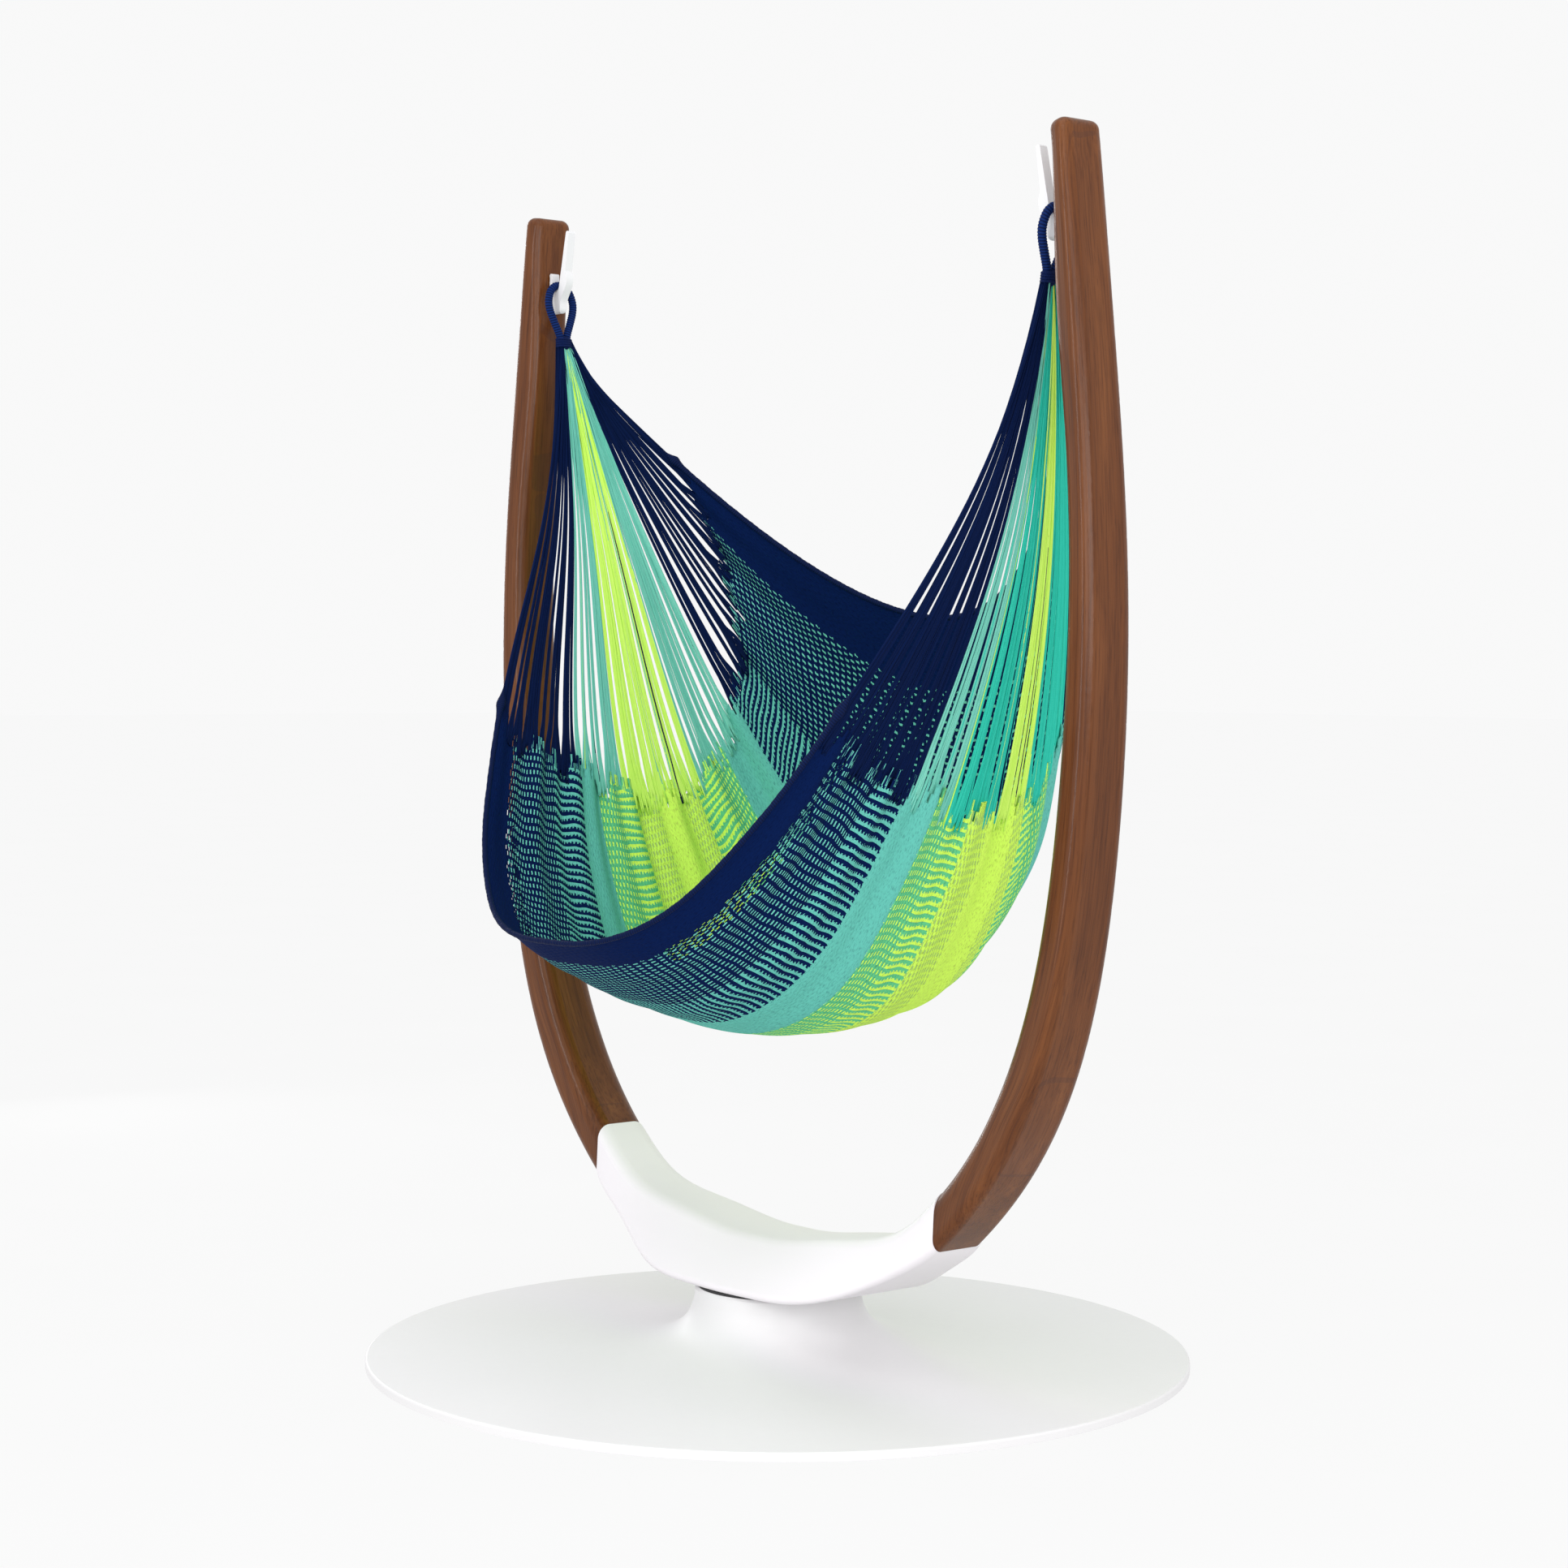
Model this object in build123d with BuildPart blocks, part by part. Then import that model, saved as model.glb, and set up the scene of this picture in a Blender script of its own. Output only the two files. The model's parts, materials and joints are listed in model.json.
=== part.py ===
from build123d import *
import math
import os

# Hammock chair hung between two bent wooden arms on a swivelling stand.
# Millimetres, +Z up. The origin is on the floor, on the swivel's axis. The arms stand in the XZ plane,
# and the sitter faces -Y. What is on the left, at -X, mirrors what is on the right.

os.makedirs("parts", exist_ok=True)

# ---------------------------------------------------------------- driving dimensions
# Floor disc and its steel skin
DISC_R = 700.0
RIM_TOP = 15.0
SKIN = 4.0
SKIN_FOOT = 1.0
HEM_T = 1.2
HEM_W = 40.0
NECK_R = 142.0
NECK_TOP = 124.0
NECK_LIP_R = 126.0
FLARE_PULLS = [(147.0, 40.0), (200.0, 19.5), (480.0, 17.0)]

# Ballast plate, floor pads and hem screws
PLATE_BASE = SKIN_FOOT + HEM_T
PLATE_T = 6.0
PLATE_TOP = PLATE_BASE + PLATE_T
PLATE_R = 684.0
PAD_R = 20.0
PAD_RING_R = 600.0
PAD_COUNT = 12
HEM_SCREW_R = 2.5
HEM_SCREW_RING_R = 672.0
HEM_SCREW_COUNT = 12
HEM_SCREW_DEPTH = 4.0

# Pedestal on the plate, with its studs and nuts
FOOT_R = 118.0
FOOT_T = 10.0
TUBE_R = 80.0
TUBE_WALL = 10.0
HEAD_R = 125.0
HEAD_TOP = 106.0
HEAD_T = 8.0
BOSS_R = 32.0
BOSS_BASE = 84.0
STUD_R = 6.0
STUD_RING_R = 99.0
STUD_COUNT = 8
STUD_LENGTH = 25.0
NUT_ACROSS = 18.0
NUT_T = 10.0
CLEARANCE_R = 0.5

# Swivel bearing between the pedestal and the cradle
CRADLE_BASE = 128.0
BALL_R = 5.0
BALL_PITCH_R = 95.0
BALL_COUNT = 24
BALL_Z = 117.0
RUNNING = 0.05
RACE_T = 9.0
LOWER_RACE_IN = 84.0
LOWER_RACE_OUT = 124.0
UPPER_RACE_IN = 58.0
UPPER_RACE_OUT = 108.0
CAGE_IN = 88.0
CAGE_OUT = 102.0
CAGE_T = 1.6
RACE_BOLT_COUNT = 6
LOWER_BOLT_R = 4.0
LOWER_BOLT_RING_R = 116.0
UPPER_BOLT_R = 5.0
UPPER_BOLT_RING_R = 70.0
SPINDLE_R = 15.0
SPINDLE_BASE = 52.0
SPINDLE_TOP = 168.0
BUSH_R = 19.0
BUSH_LIP_R = 28.0
BUSH_LIP_T = 3.0
WASHER_R = 30.0
WASHER_T = 4.0
LOCK_NUT_ACROSS = 46.0
LOCK_NUT_T = 20.0
SEAL_IN = 122.0
SEAL_OUT = 136.0
SEAL_GAP = 0.3

# Cradle casting: |x|, underside, top, half depth of the underside and of the top, radius of the lower edges
CRADLE_END = 451.0
CRADLE_SECTIONS = [
    (0.0, 128.0, 217.0, 150.0, 62.0, 8.0),
    (120.0, 130.0, 225.0, 145.0, 62.0, 8.0),
    (240.0, 146.0, 243.0, 120.0, 58.0, 9.0),
    (320.0, 177.0, 259.0, 92.0, 54.0, 11.0),
    (380.0, 207.0, 288.0, 74.0, 52.0, 12.5),
    (451.0, 255.0, 348.0, 56.5, 52.0, 14.0),
]
CRADLE_TOP_R = 26.0

# Bent laminated arms: centre (x, z), slope in degrees, thickness, outer depth, inner depth, inner edge radius
JOINT_GAP = 0.3
ARM_STATIONS = [
    (394.4, 252.3, 41.0, 71.0, 113.0, 104.0, 28.0),
    (477.5, 324.5, 41.0, 71.0, 113.0, 104.0, 28.0),
    (546.0, 400.5, 54.0, 71.0, 112.0, 102.0, 27.0),
    (649.5, 583.0, 68.0, 70.0, 110.0, 99.0, 26.0),
    (715.5, 834.5, 80.0, 64.0, 107.0, 94.0, 24.0),
    (746.0, 1154.0, 88.0, 60.0, 103.0, 87.0, 22.0),
    (737.0, 1507.0, 94.2, 54.0, 99.0, 80.0, 20.0),
    (702.5, 1857.5, 95.6, 49.0, 96.0, 74.0, 18.0),
    (687.5, 2010.0, 95.8, 43.5, 95.0, 72.0, 17.0),
]
ARM_OUTER_EDGE_R = 18.0
ARM_TIP_R = 16.0

# Steel tongue through each wooden joint, with its two bolts
TONGUE_LENGTH = 200.0
TONGUE_WIDTH = 56.0
TONGUE_T = 22.0
TONGUE_SLOPE = 41.0
TONGUE_Z = 301.5
POCKET_GAP = 0.25
JOINT_BOLT_R = 5.0
JOINT_BOLT_OFFSET = 60.0
JOINT_BOLT_TIP = -34.0
JOINT_BOLT_HEAD_R = 9.0
JOINT_BOLT_HEAD_T = 8.0
JOINT_BOLT_HEAD_Y = 36.0
JOINT_BOLT_SINK = 60.0
JOINT_SOCKET_R = 4.0

# Hook casting screwed to the inside of each arm
HOOK_HALF = 8.0
HOOK_FOOT_R = 7.0
HOOK_STUD_R = 6.0
INSERT_HOLE_IN = 661.0
HOOK_STUD_Z = 1849.0
HOOK_STUD_IN = 650.0
HOOK_STUD_OUT = 706.0
INSERT_R = 9.0
INSERT_IN = 681.0
INSERT_OUT = 712.0
HOOK_PIN_R = 3.0
HOOK_PIN_Z = 1893.0
HOOK_PIN_IN = 670.0
HOOK_PIN_OUT = 692.0

# Rope loop over the hook, and the whipping that binds it to the strings
ROPE_R = 9.5
EYE_R = 27.0
SEAT_GAP = 0.5
LOOP_TOP = (655.0, 1884.0)
GATHER = (637.0, 1760.0)
LEG_HALF = 9.8
WHIP_START = 104.0
WHIP_LENGTH = 38.0
WHIP_HALF_Y = 19.8
WHIP_HALF_X = 13.5

# Hammock: strings fan from each gathering point to the woven bed.
# A point lies at an angle and a radius about the line through the two gathering points.
CLOTH_T = 4.0
FRONT_BAND_T = 12.1
FRONT_BAND_SHARE = 0.16
FRONT_BAND_GAP = 0.0035
FRONT_ANGLE = [-25.3, -25.0, -24.0, -23.0, -20.5, -12.0]
BACK_ANGLE = 37.0
MID_RADIUS = [1131.0, 1175.0, 1200.0, 1155.0, 975.0, 616.0]
ROUNDNESS = [2.75, 2.7, 3.0, 2.9, 2.35, 1.95]
FULLNESS = 0.93
BED_SHARE = 0.70
FAN_START = 0.7035
FAN_END = 0.965
ROWS = 13
NECK_LENGTH = 66.0
NECK_HALF_X = 15.0
NECK_HALF_Y = 25.0


# ---------------------------------------------------------------- shared helpers
def save(part, name):
    """Labels a finished piece and writes its file."""
    part.label = name
    export_step(part, "parts/" + name + ".step")


def eased(values, t):
    """A smooth curve through evenly spaced values, read at t from 0 to 1."""
    place = min(max(t, 0.0), 1.0) * (len(values) - 1)
    i = min(int(place), len(values) - 2)
    f = place - i
    before = values[i - 1] if i > 0 else 2 * values[0] - values[1]
    after = values[i + 2] if i + 2 < len(values) else 2 * values[-1] - values[-2]
    a, b = values[i], values[i + 1]
    bend = 2 * before - 5 * a + 4 * b - after
    turn = 3 * (a - b) + after - before
    return a + 0.5 * f * (b - before + f * (bend + f * turn))


def cloth_point(share, across):
    """A point of the hammock: share runs from -1 to 1 between the gathering points, across from 0 to 1."""
    reach = abs(share)
    front = eased(FRONT_ANGLE, reach)
    angle = math.radians(front + (BACK_ANGLE - front) * across)
    drop = 1.0 - reach ** eased(ROUNDNESS, across)
    radius = eased(MID_RADIUS, across) * drop**FULLNESS
    return Vector(share * GATHER[0], radius * math.sin(angle), GATHER[1] - radius * math.cos(angle))


def cloth_face(start, end, columns, front=0.0, back=1.0):
    """The middle surface of the hammock between two shares, and between two lines along its strings."""
    grid = []
    for i in range(columns + 1):
        share = start + (end - start) * i / columns
        lines = [front + (back - front) * j / (ROWS - 1) for j in range(ROWS)]
        grid.append([cloth_point(share, across) for across in lines])
    return Face.make_surface_from_array_of_points(grid, tol=1.0, max_deg=5)


# ---------------------------------------------------------------- floor disc
with BuildPart() as base_shell:
    with BuildSketch(Plane.XZ):
        with BuildLine():
            lip = Line((NECK_LIP_R, NECK_TOP), (NECK_R - SKIN, NECK_TOP))
            roll = Line(lip @ 1, (NECK_R, NECK_TOP - SKIN))
            flare = Bezier(roll @ 1, *FLARE_PULLS)
            dish = Line(flare @ 1, (DISC_R - SKIN, RIM_TOP))
            rim = TangentArc(dish @ 1, (DISC_R, RIM_TOP - SKIN), tangent=(1, 0))
            edge = Line(rim @ 1, (DISC_R, SKIN_FOOT))
            hem = Polyline(
                edge @ 1,
                (DISC_R - HEM_W, SKIN_FOOT),
                (DISC_R - HEM_W, PLATE_BASE),
                (DISC_R - SKIN, PLATE_BASE),
                (DISC_R - SKIN, RIM_TOP - SKIN),
            )
            inside = [(r - SKIN, z - SKIN) for r, z in reversed(FLARE_PULLS)]
            floor = Line(hem @ 1, inside[0])
            under = Bezier(*inside, (NECK_R - SKIN, NECK_TOP - 2 * SKIN))
            close = Polyline(
                under @ 1,
                (NECK_R - SKIN - 1, NECK_TOP - SKIN),
                (NECK_LIP_R, NECK_TOP - SKIN),
                (NECK_LIP_R, NECK_TOP),
            )
        make_face()
    revolve(axis=Axis.Z)
    with BuildSketch(Plane.XY.offset(SKIN_FOOT)):
        with PolarLocations(HEM_SCREW_RING_R, HEM_SCREW_COUNT):
            Circle(HEM_SCREW_R + 0.1)
    extrude(amount=HEM_T, mode=Mode.SUBTRACT)
save(base_shell.part, "base_shell")

with BuildPart() as ballast_plate:
    with BuildSketch(Plane.XY.offset(PLATE_BASE)):
        Circle(PLATE_R)
    extrude(amount=PLATE_T)
    with BuildSketch(Plane.XY.offset(PLATE_BASE)):
        with PolarLocations(HEM_SCREW_RING_R, HEM_SCREW_COUNT):
            Circle(HEM_SCREW_R)
    extrude(amount=HEM_SCREW_DEPTH, mode=Mode.SUBTRACT)
save(ballast_plate.part, "ballast_plate")

with BuildPart() as hem_screws:
    with BuildSketch(Plane.XY.offset(SKIN_FOOT)):
        with PolarLocations(HEM_SCREW_RING_R, HEM_SCREW_COUNT):
            Circle(HEM_SCREW_R)
    extrude(amount=HEM_T + HEM_SCREW_DEPTH)
save(hem_screws.part, "hem_screws")

with BuildPart() as floor_pads:
    with BuildSketch():
        with PolarLocations(PAD_RING_R, PAD_COUNT):
            Circle(PAD_R)
    extrude(amount=PLATE_BASE)
    chamfer(floor_pads.edges().group_by(Axis.Z)[0], 0.4)
save(floor_pads.part, "floor_pads")

# ---------------------------------------------------------------- pedestal
with BuildPart() as pedestal:
    foot_top = PLATE_TOP + FOOT_T
    head_base = HEAD_TOP - HEAD_T
    tube_in = TUBE_R - TUBE_WALL
    with BuildSketch(Plane.XZ):
        with BuildLine():
            Polyline(
                (BUSH_R, PLATE_TOP),
                (FOOT_R, PLATE_TOP),
                (FOOT_R, foot_top),
                (TUBE_R, foot_top),
                (TUBE_R, head_base),
                (HEAD_R, head_base),
                (HEAD_R, HEAD_TOP),
                (BUSH_R, HEAD_TOP),
                (BUSH_R, BOSS_BASE),
                (BOSS_R, BOSS_BASE),
                (BOSS_R, head_base),
                (tube_in, head_base),
                (tube_in, foot_top),
                (BUSH_R, foot_top),
                close=True,
            )
        make_face()
    revolve(axis=Axis.Z)
    with BuildSketch(Plane.XY.offset(PLATE_TOP)):
        with PolarLocations(STUD_RING_R, STUD_COUNT):
            Circle(STUD_R + CLEARANCE_R)
    extrude(amount=FOOT_T, mode=Mode.SUBTRACT)
    with BuildSketch(Plane.XY.offset(head_base)):
        with PolarLocations(LOWER_BOLT_RING_R, RACE_BOLT_COUNT):
            Circle(LOWER_BOLT_R + CLEARANCE_R)
    extrude(amount=HEAD_T, mode=Mode.SUBTRACT)
save(pedestal.part, "pedestal")

with BuildPart() as pedestal_studs:
    with BuildSketch(Plane.XY.offset(PLATE_TOP)):
        with PolarLocations(STUD_RING_R, STUD_COUNT):
            Circle(STUD_R)
    extrude(amount=STUD_LENGTH)
    chamfer(pedestal_studs.edges().group_by(Axis.Z)[-1], 1.0)
save(pedestal_studs.part, "pedestal_studs")

with BuildPart() as pedestal_nuts:
    with BuildSketch(Plane.XY.offset(foot_top)):
        with PolarLocations(STUD_RING_R, STUD_COUNT):
            RegularPolygon(NUT_ACROSS / 2, 6, major_radius=False)
            Circle(STUD_R + RUNNING, mode=Mode.SUBTRACT)
    extrude(amount=NUT_T)
save(pedestal_nuts.part, "pedestal_nuts")

# ---------------------------------------------------------------- swivel bearing
with BuildPart() as lower_race:
    with BuildSketch(Plane.XY.offset(HEAD_TOP)):
        Circle(LOWER_RACE_OUT)
        Circle(LOWER_RACE_IN, mode=Mode.SUBTRACT)
    extrude(amount=RACE_T)
    with Locations((0, 0, BALL_Z)):
        Torus(BALL_PITCH_R, BALL_R + RUNNING, mode=Mode.SUBTRACT)
    with BuildSketch(Plane.XY.offset(HEAD_TOP)):
        with PolarLocations(LOWER_BOLT_RING_R, RACE_BOLT_COUNT):
            Circle(LOWER_BOLT_R + RUNNING)
    extrude(amount=RACE_T - 1, mode=Mode.SUBTRACT)
save(lower_race.part, "lower_race")

with BuildPart() as lower_race_bolts:
    with BuildSketch(Plane.XY.offset(head_base)):
        with PolarLocations(LOWER_BOLT_RING_R, RACE_BOLT_COUNT):
            Circle(LOWER_BOLT_R)
    extrude(amount=HEAD_T + RACE_T - 2)
    with BuildSketch(Plane.XY.offset(head_base)):
        with PolarLocations(LOWER_BOLT_RING_R, RACE_BOLT_COUNT):
            RegularPolygon(LOWER_BOLT_R * 1.6, 6, major_radius=False)
    extrude(amount=-LOWER_BOLT_R * 1.4)
save(lower_race_bolts.part, "lower_race_bolts")

with BuildPart() as bearing_balls:
    with PolarLocations(BALL_PITCH_R, BALL_COUNT):
        with Locations((0, 0, BALL_Z)):
            Sphere(BALL_R)
save(bearing_balls.part, "bearing_balls")

with BuildPart() as ball_cage:
    with BuildSketch(Plane.XY.offset(BALL_Z - CAGE_T / 2)):
        Circle(CAGE_OUT)
        Circle(CAGE_IN, mode=Mode.SUBTRACT)
        with PolarLocations(BALL_PITCH_R, BALL_COUNT):
            Circle(BALL_R + 2 * RUNNING, mode=Mode.SUBTRACT)
    extrude(amount=CAGE_T)
save(ball_cage.part, "ball_cage")

with BuildPart() as upper_race:
    with BuildSketch(Plane.XY.offset(CRADLE_BASE - RACE_T)):
        Circle(UPPER_RACE_OUT)
        Circle(UPPER_RACE_IN, mode=Mode.SUBTRACT)
    extrude(amount=RACE_T)
    with Locations((0, 0, BALL_Z)):
        Torus(BALL_PITCH_R, BALL_R + RUNNING, mode=Mode.SUBTRACT)
    with BuildSketch(Plane.XY.offset(CRADLE_BASE - RACE_T)):
        with PolarLocations(UPPER_BOLT_RING_R, RACE_BOLT_COUNT):
            Circle(UPPER_BOLT_R + CLEARANCE_R)
    extrude(amount=RACE_T, mode=Mode.SUBTRACT)
save(upper_race.part, "upper_race")

with BuildPart() as upper_race_bolts:
    with BuildSketch(Plane.XY.offset(CRADLE_BASE - RACE_T)):
        with PolarLocations(UPPER_BOLT_RING_R, RACE_BOLT_COUNT):
            Circle(UPPER_BOLT_R)
    extrude(amount=RACE_T + 18)
    with BuildSketch(Plane.XY.offset(CRADLE_BASE - RACE_T)):
        with PolarLocations(UPPER_BOLT_RING_R, RACE_BOLT_COUNT):
            RegularPolygon(UPPER_BOLT_R * 1.6, 6, major_radius=False)
    extrude(amount=-UPPER_BOLT_R * 1.4)
save(upper_race_bolts.part, "upper_race_bolts")

with BuildPart() as spindle:
    with BuildSketch(Plane.XY.offset(SPINDLE_BASE)):
        Circle(SPINDLE_R)
    extrude(amount=SPINDLE_TOP - SPINDLE_BASE)
    chamfer(spindle.edges().group_by(Axis.Z)[0], 2.0)
save(spindle.part, "spindle")

with BuildPart() as spindle_bush:
    with BuildSketch(Plane.XZ):
        with BuildLine():
            Polyline(
                (SPINDLE_R + RUNNING, BOSS_BASE),
                (BUSH_R, BOSS_BASE),
                (BUSH_R, HEAD_TOP),
                (BUSH_LIP_R, HEAD_TOP),
                (BUSH_LIP_R, HEAD_TOP + BUSH_LIP_T),
                (SPINDLE_R + RUNNING, HEAD_TOP + BUSH_LIP_T),
                close=True,
            )
        make_face()
    revolve(axis=Axis.Z)
save(spindle_bush.part, "spindle_bush")

with BuildPart() as thrust_washer:
    washer_top = BOSS_BASE - RUNNING
    with BuildSketch(Plane.XY.offset(washer_top - WASHER_T)):
        Circle(WASHER_R)
        Circle(SPINDLE_R + RUNNING, mode=Mode.SUBTRACT)
    extrude(amount=WASHER_T)
save(thrust_washer.part, "thrust_washer")

with BuildPart() as lock_nut:
    with BuildSketch(Plane.XY.offset(washer_top - WASHER_T)):
        RegularPolygon(LOCK_NUT_ACROSS / 2, 6, major_radius=False)
        Circle(SPINDLE_R + RUNNING, mode=Mode.SUBTRACT)
    extrude(amount=-LOCK_NUT_T)
save(lock_nut.part, "lock_nut")

with BuildPart() as dust_seal:
    with BuildSketch(Plane.XY.offset(NECK_TOP)):
        Circle(SEAL_OUT)
        Circle(NECK_LIP_R, mode=Mode.SUBTRACT)
    extrude(amount=CRADLE_BASE - SEAL_GAP - NECK_TOP)
save(dust_seal.part, "dust_seal")


# ---------------------------------------------------------------- tongues and their pockets
def tongue_plane(side):
    """Plane whose x runs up the arm at the joint and whose z runs to the back."""
    slope = math.radians(TONGUE_SLOPE)
    along = (side * math.cos(slope), 0, math.sin(slope))
    return Plane(origin=(side * CRADLE_END, 0, TONGUE_Z), x_dir=along, z_dir=(0, 1, 0))


def add_tongue(side, gap, mode):
    """The tongue's block, or with a gap the pocket that takes it."""
    with BuildSketch(tongue_plane(side).offset(-TONGUE_WIDTH / 2 - gap)) as block:
        Rectangle(TONGUE_LENGTH + 2 * gap, TONGUE_T + 2 * gap)
    extrude(block.sketch, amount=TONGUE_WIDTH + 2 * gap, mode=mode)


def add_joint_bolts(side, radius, head_radius, head_end, mode, places):
    """Bolts through the tongue from the back, or with larger radii their holes."""
    with BuildSketch(tongue_plane(side).offset(JOINT_BOLT_TIP)) as shank:
        with Locations(*places):
            Circle(radius)
    extrude(shank.sketch, amount=JOINT_BOLT_HEAD_Y - JOINT_BOLT_TIP, mode=mode)
    with BuildSketch(tongue_plane(side).offset(JOINT_BOLT_HEAD_Y)) as head:
        with Locations(*places):
            Circle(head_radius)
    extrude(head.sketch, amount=head_end - JOINT_BOLT_HEAD_Y, mode=mode)


def cut_joint(side, places):
    """The tongue's pocket and the bolts' counterbored holes."""
    add_tongue(side, POCKET_GAP, Mode.SUBTRACT)
    add_joint_bolts(
        side,
        JOINT_BOLT_R + POCKET_GAP,
        JOINT_BOLT_HEAD_R + POCKET_GAP,
        JOINT_BOLT_SINK,
        Mode.SUBTRACT,
        places,
    )


ARM_BOLT = [(JOINT_BOLT_OFFSET, 0)]
CRADLE_BOLT = [(-JOINT_BOLT_OFFSET, 0)]

for side, name in ((-1, "left"), (1, "right")):
    with BuildPart() as tongue:
        add_tongue(side, 0, Mode.ADD)
        with BuildSketch(tongue_plane(side).offset(-TONGUE_WIDTH)):
            with Locations(*ARM_BOLT, *CRADLE_BOLT):
                Circle(JOINT_BOLT_R + RUNNING)
        extrude(amount=2 * TONGUE_WIDTH, mode=Mode.SUBTRACT)
    save(tongue.part, "tongue_" + name)
    with BuildPart() as joint_bolts:
        add_joint_bolts(
            side,
            JOINT_BOLT_R,
            JOINT_BOLT_HEAD_R,
            JOINT_BOLT_HEAD_Y + JOINT_BOLT_HEAD_T,
            Mode.ADD,
            ARM_BOLT + CRADLE_BOLT,
        )
        with BuildSketch(tongue_plane(side).offset(JOINT_BOLT_HEAD_Y + JOINT_BOLT_HEAD_T)):
            with Locations(*ARM_BOLT, *CRADLE_BOLT):
                RegularPolygon(JOINT_SOCKET_R, 6, major_radius=False)
        extrude(amount=-JOINT_BOLT_HEAD_T / 2, mode=Mode.SUBTRACT)
    save(joint_bolts.part, "joint_bolts_" + name)

# ---------------------------------------------------------------- cradle
with BuildPart() as cradle:
    mirrored = [(-x, *rest) for x, *rest in reversed(CRADLE_SECTIONS[1:])]
    for x, under, top, half_under, half_top, edge_r in mirrored + CRADLE_SECTIONS:
        with BuildSketch(Plane.YZ.offset(x)) as section:
            with BuildLine():
                Polyline(
                    (-half_under, under),
                    (half_under, under),
                    (half_top, top),
                    (-half_top, top),
                    close=True,
                )
            make_face()
            fillet(section.vertices().group_by(Axis.Y)[0], edge_r)
            fillet(section.vertices().group_by(Axis.Y)[-1], CRADLE_TOP_R)
    loft()
    for side in (-1, 1):
        cut_joint(side, CRADLE_BOLT)
    with BuildSketch(Plane.XY.offset(CRADLE_BASE - 1)):
        Circle(SPINDLE_R + RUNNING)
    extrude(amount=SPINDLE_TOP - CRADLE_BASE + 2, mode=Mode.SUBTRACT)
    with BuildSketch(Plane.XY.offset(CRADLE_BASE - 1)):
        with PolarLocations(UPPER_BOLT_RING_R, RACE_BOLT_COUNT):
            Circle(UPPER_BOLT_R + RUNNING)
    extrude(amount=20, mode=Mode.SUBTRACT)
save(cradle.part, "cradle")

# ---------------------------------------------------------------- arms
with BuildPart() as arm_right:
    for x, z, slope, thick, outer, inner, inner_r in ARM_STATIONS:
        run = math.radians(slope)
        plane = Plane(origin=(x, 0, z), x_dir=(0, 1, 0), z_dir=(math.cos(run), 0, math.sin(run)))
        with BuildSketch(plane) as section:
            with BuildLine():
                Polyline(
                    (-outer / 2, -thick / 2),
                    (outer / 2, -thick / 2),
                    (inner / 2, thick / 2),
                    (-inner / 2, thick / 2),
                    close=True,
                )
            make_face()
            fillet(section.vertices().group_by(Axis.Y)[0], ARM_OUTER_EDGE_R)
            fillet(section.vertices().group_by(Axis.Y)[-1], inner_r)
    loft()
    split(bisect_by=Plane.YZ.offset(CRADLE_END + JOINT_GAP), keep=Keep.TOP)
    fillet(arm_right.faces().sort_by(Axis.Z)[-1].edges(), ARM_TIP_R)
    cut_joint(1, ARM_BOLT)
    with BuildSketch(Plane.YZ.offset(INSERT_HOLE_IN)):
        with Locations((0, HOOK_STUD_Z)):
            Circle(INSERT_R + RUNNING)
    extrude(amount=INSERT_OUT - INSERT_HOLE_IN, mode=Mode.SUBTRACT)
    with BuildSketch(Plane.YZ.offset(INSERT_HOLE_IN)):
        with Locations((0, HOOK_PIN_Z)):
            Circle(HOOK_PIN_R + RUNNING)
    extrude(amount=HOOK_PIN_OUT - INSERT_HOLE_IN, mode=Mode.SUBTRACT)
save(arm_right.part, "arm_right")

with BuildPart() as arm_left:
    mirror(arm_right.part, about=Plane.YZ)
save(arm_left.part, "arm_left")

# ---------------------------------------------------------------- hooks
lean = math.atan2(LOOP_TOP[0] - GATHER[0], LOOP_TOP[1] - GATHER[1])
down = Vector(-math.sin(lean), 0, -math.cos(lean))
eye = Vector(LOOP_TOP[0], 0, LOOP_TOP[1]) + down * EYE_R
eye_plane = Plane(origin=eye, x_dir=(0, 1, 0), z_dir=(math.cos(lean), 0, -math.sin(lean)))

with BuildPart() as hook_right:
    with BuildSketch(Plane.XZ):
        with BuildLine():
            back = Polyline((673.4, 1900.0), (678.4, 1835.0), (676.4, 1832.0), (646.0, 1832.0))
            chin = Spline(back @ 1, (642.0, 1838.0), (641.0, 1850.0), (629.0, 1872.0), (625.0, 1908.0))
            nose = Line(chin @ 1, (615.0, 1976.0))
            tip = ThreePointArc(nose @ 1, (619.0, 1981.0), (623.5, 1977.0))
            throat = Polyline(tip @ 1, (638.5, 1909.0), (644.0, 1885.0))
            seat = ThreePointArc(throat @ 1, (655.0, 1874.0), (666.0, 1885.0))
            wall = Line(seat @ 1, (666.0, 1902.0))
            top = ThreePointArc(wall @ 1, (670.0, 1907.0), back @ 0)
        make_face()
    extrude(amount=HOOK_HALF, both=True)
    fillet(hook_right.edges().filter_by(Axis.X).group_by(Axis.Z)[0], HOOK_FOOT_R)
    with Locations(eye_plane):
        Torus(EYE_R, ROPE_R + SEAT_GAP, major_angle=180, align=None, mode=Mode.SUBTRACT)
    with BuildSketch(Plane.YZ.offset(HOOK_STUD_IN)):
        with Locations((0, HOOK_STUD_Z)):
            Circle(HOOK_STUD_R + RUNNING)
    extrude(amount=HOOK_STUD_OUT - HOOK_STUD_IN, mode=Mode.SUBTRACT)
    with BuildSketch(Plane.YZ.offset(HOOK_PIN_IN)):
        with Locations((0, HOOK_PIN_Z)):
            Circle(HOOK_PIN_R + RUNNING)
    extrude(amount=HOOK_PIN_OUT - HOOK_PIN_IN, mode=Mode.SUBTRACT)
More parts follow.
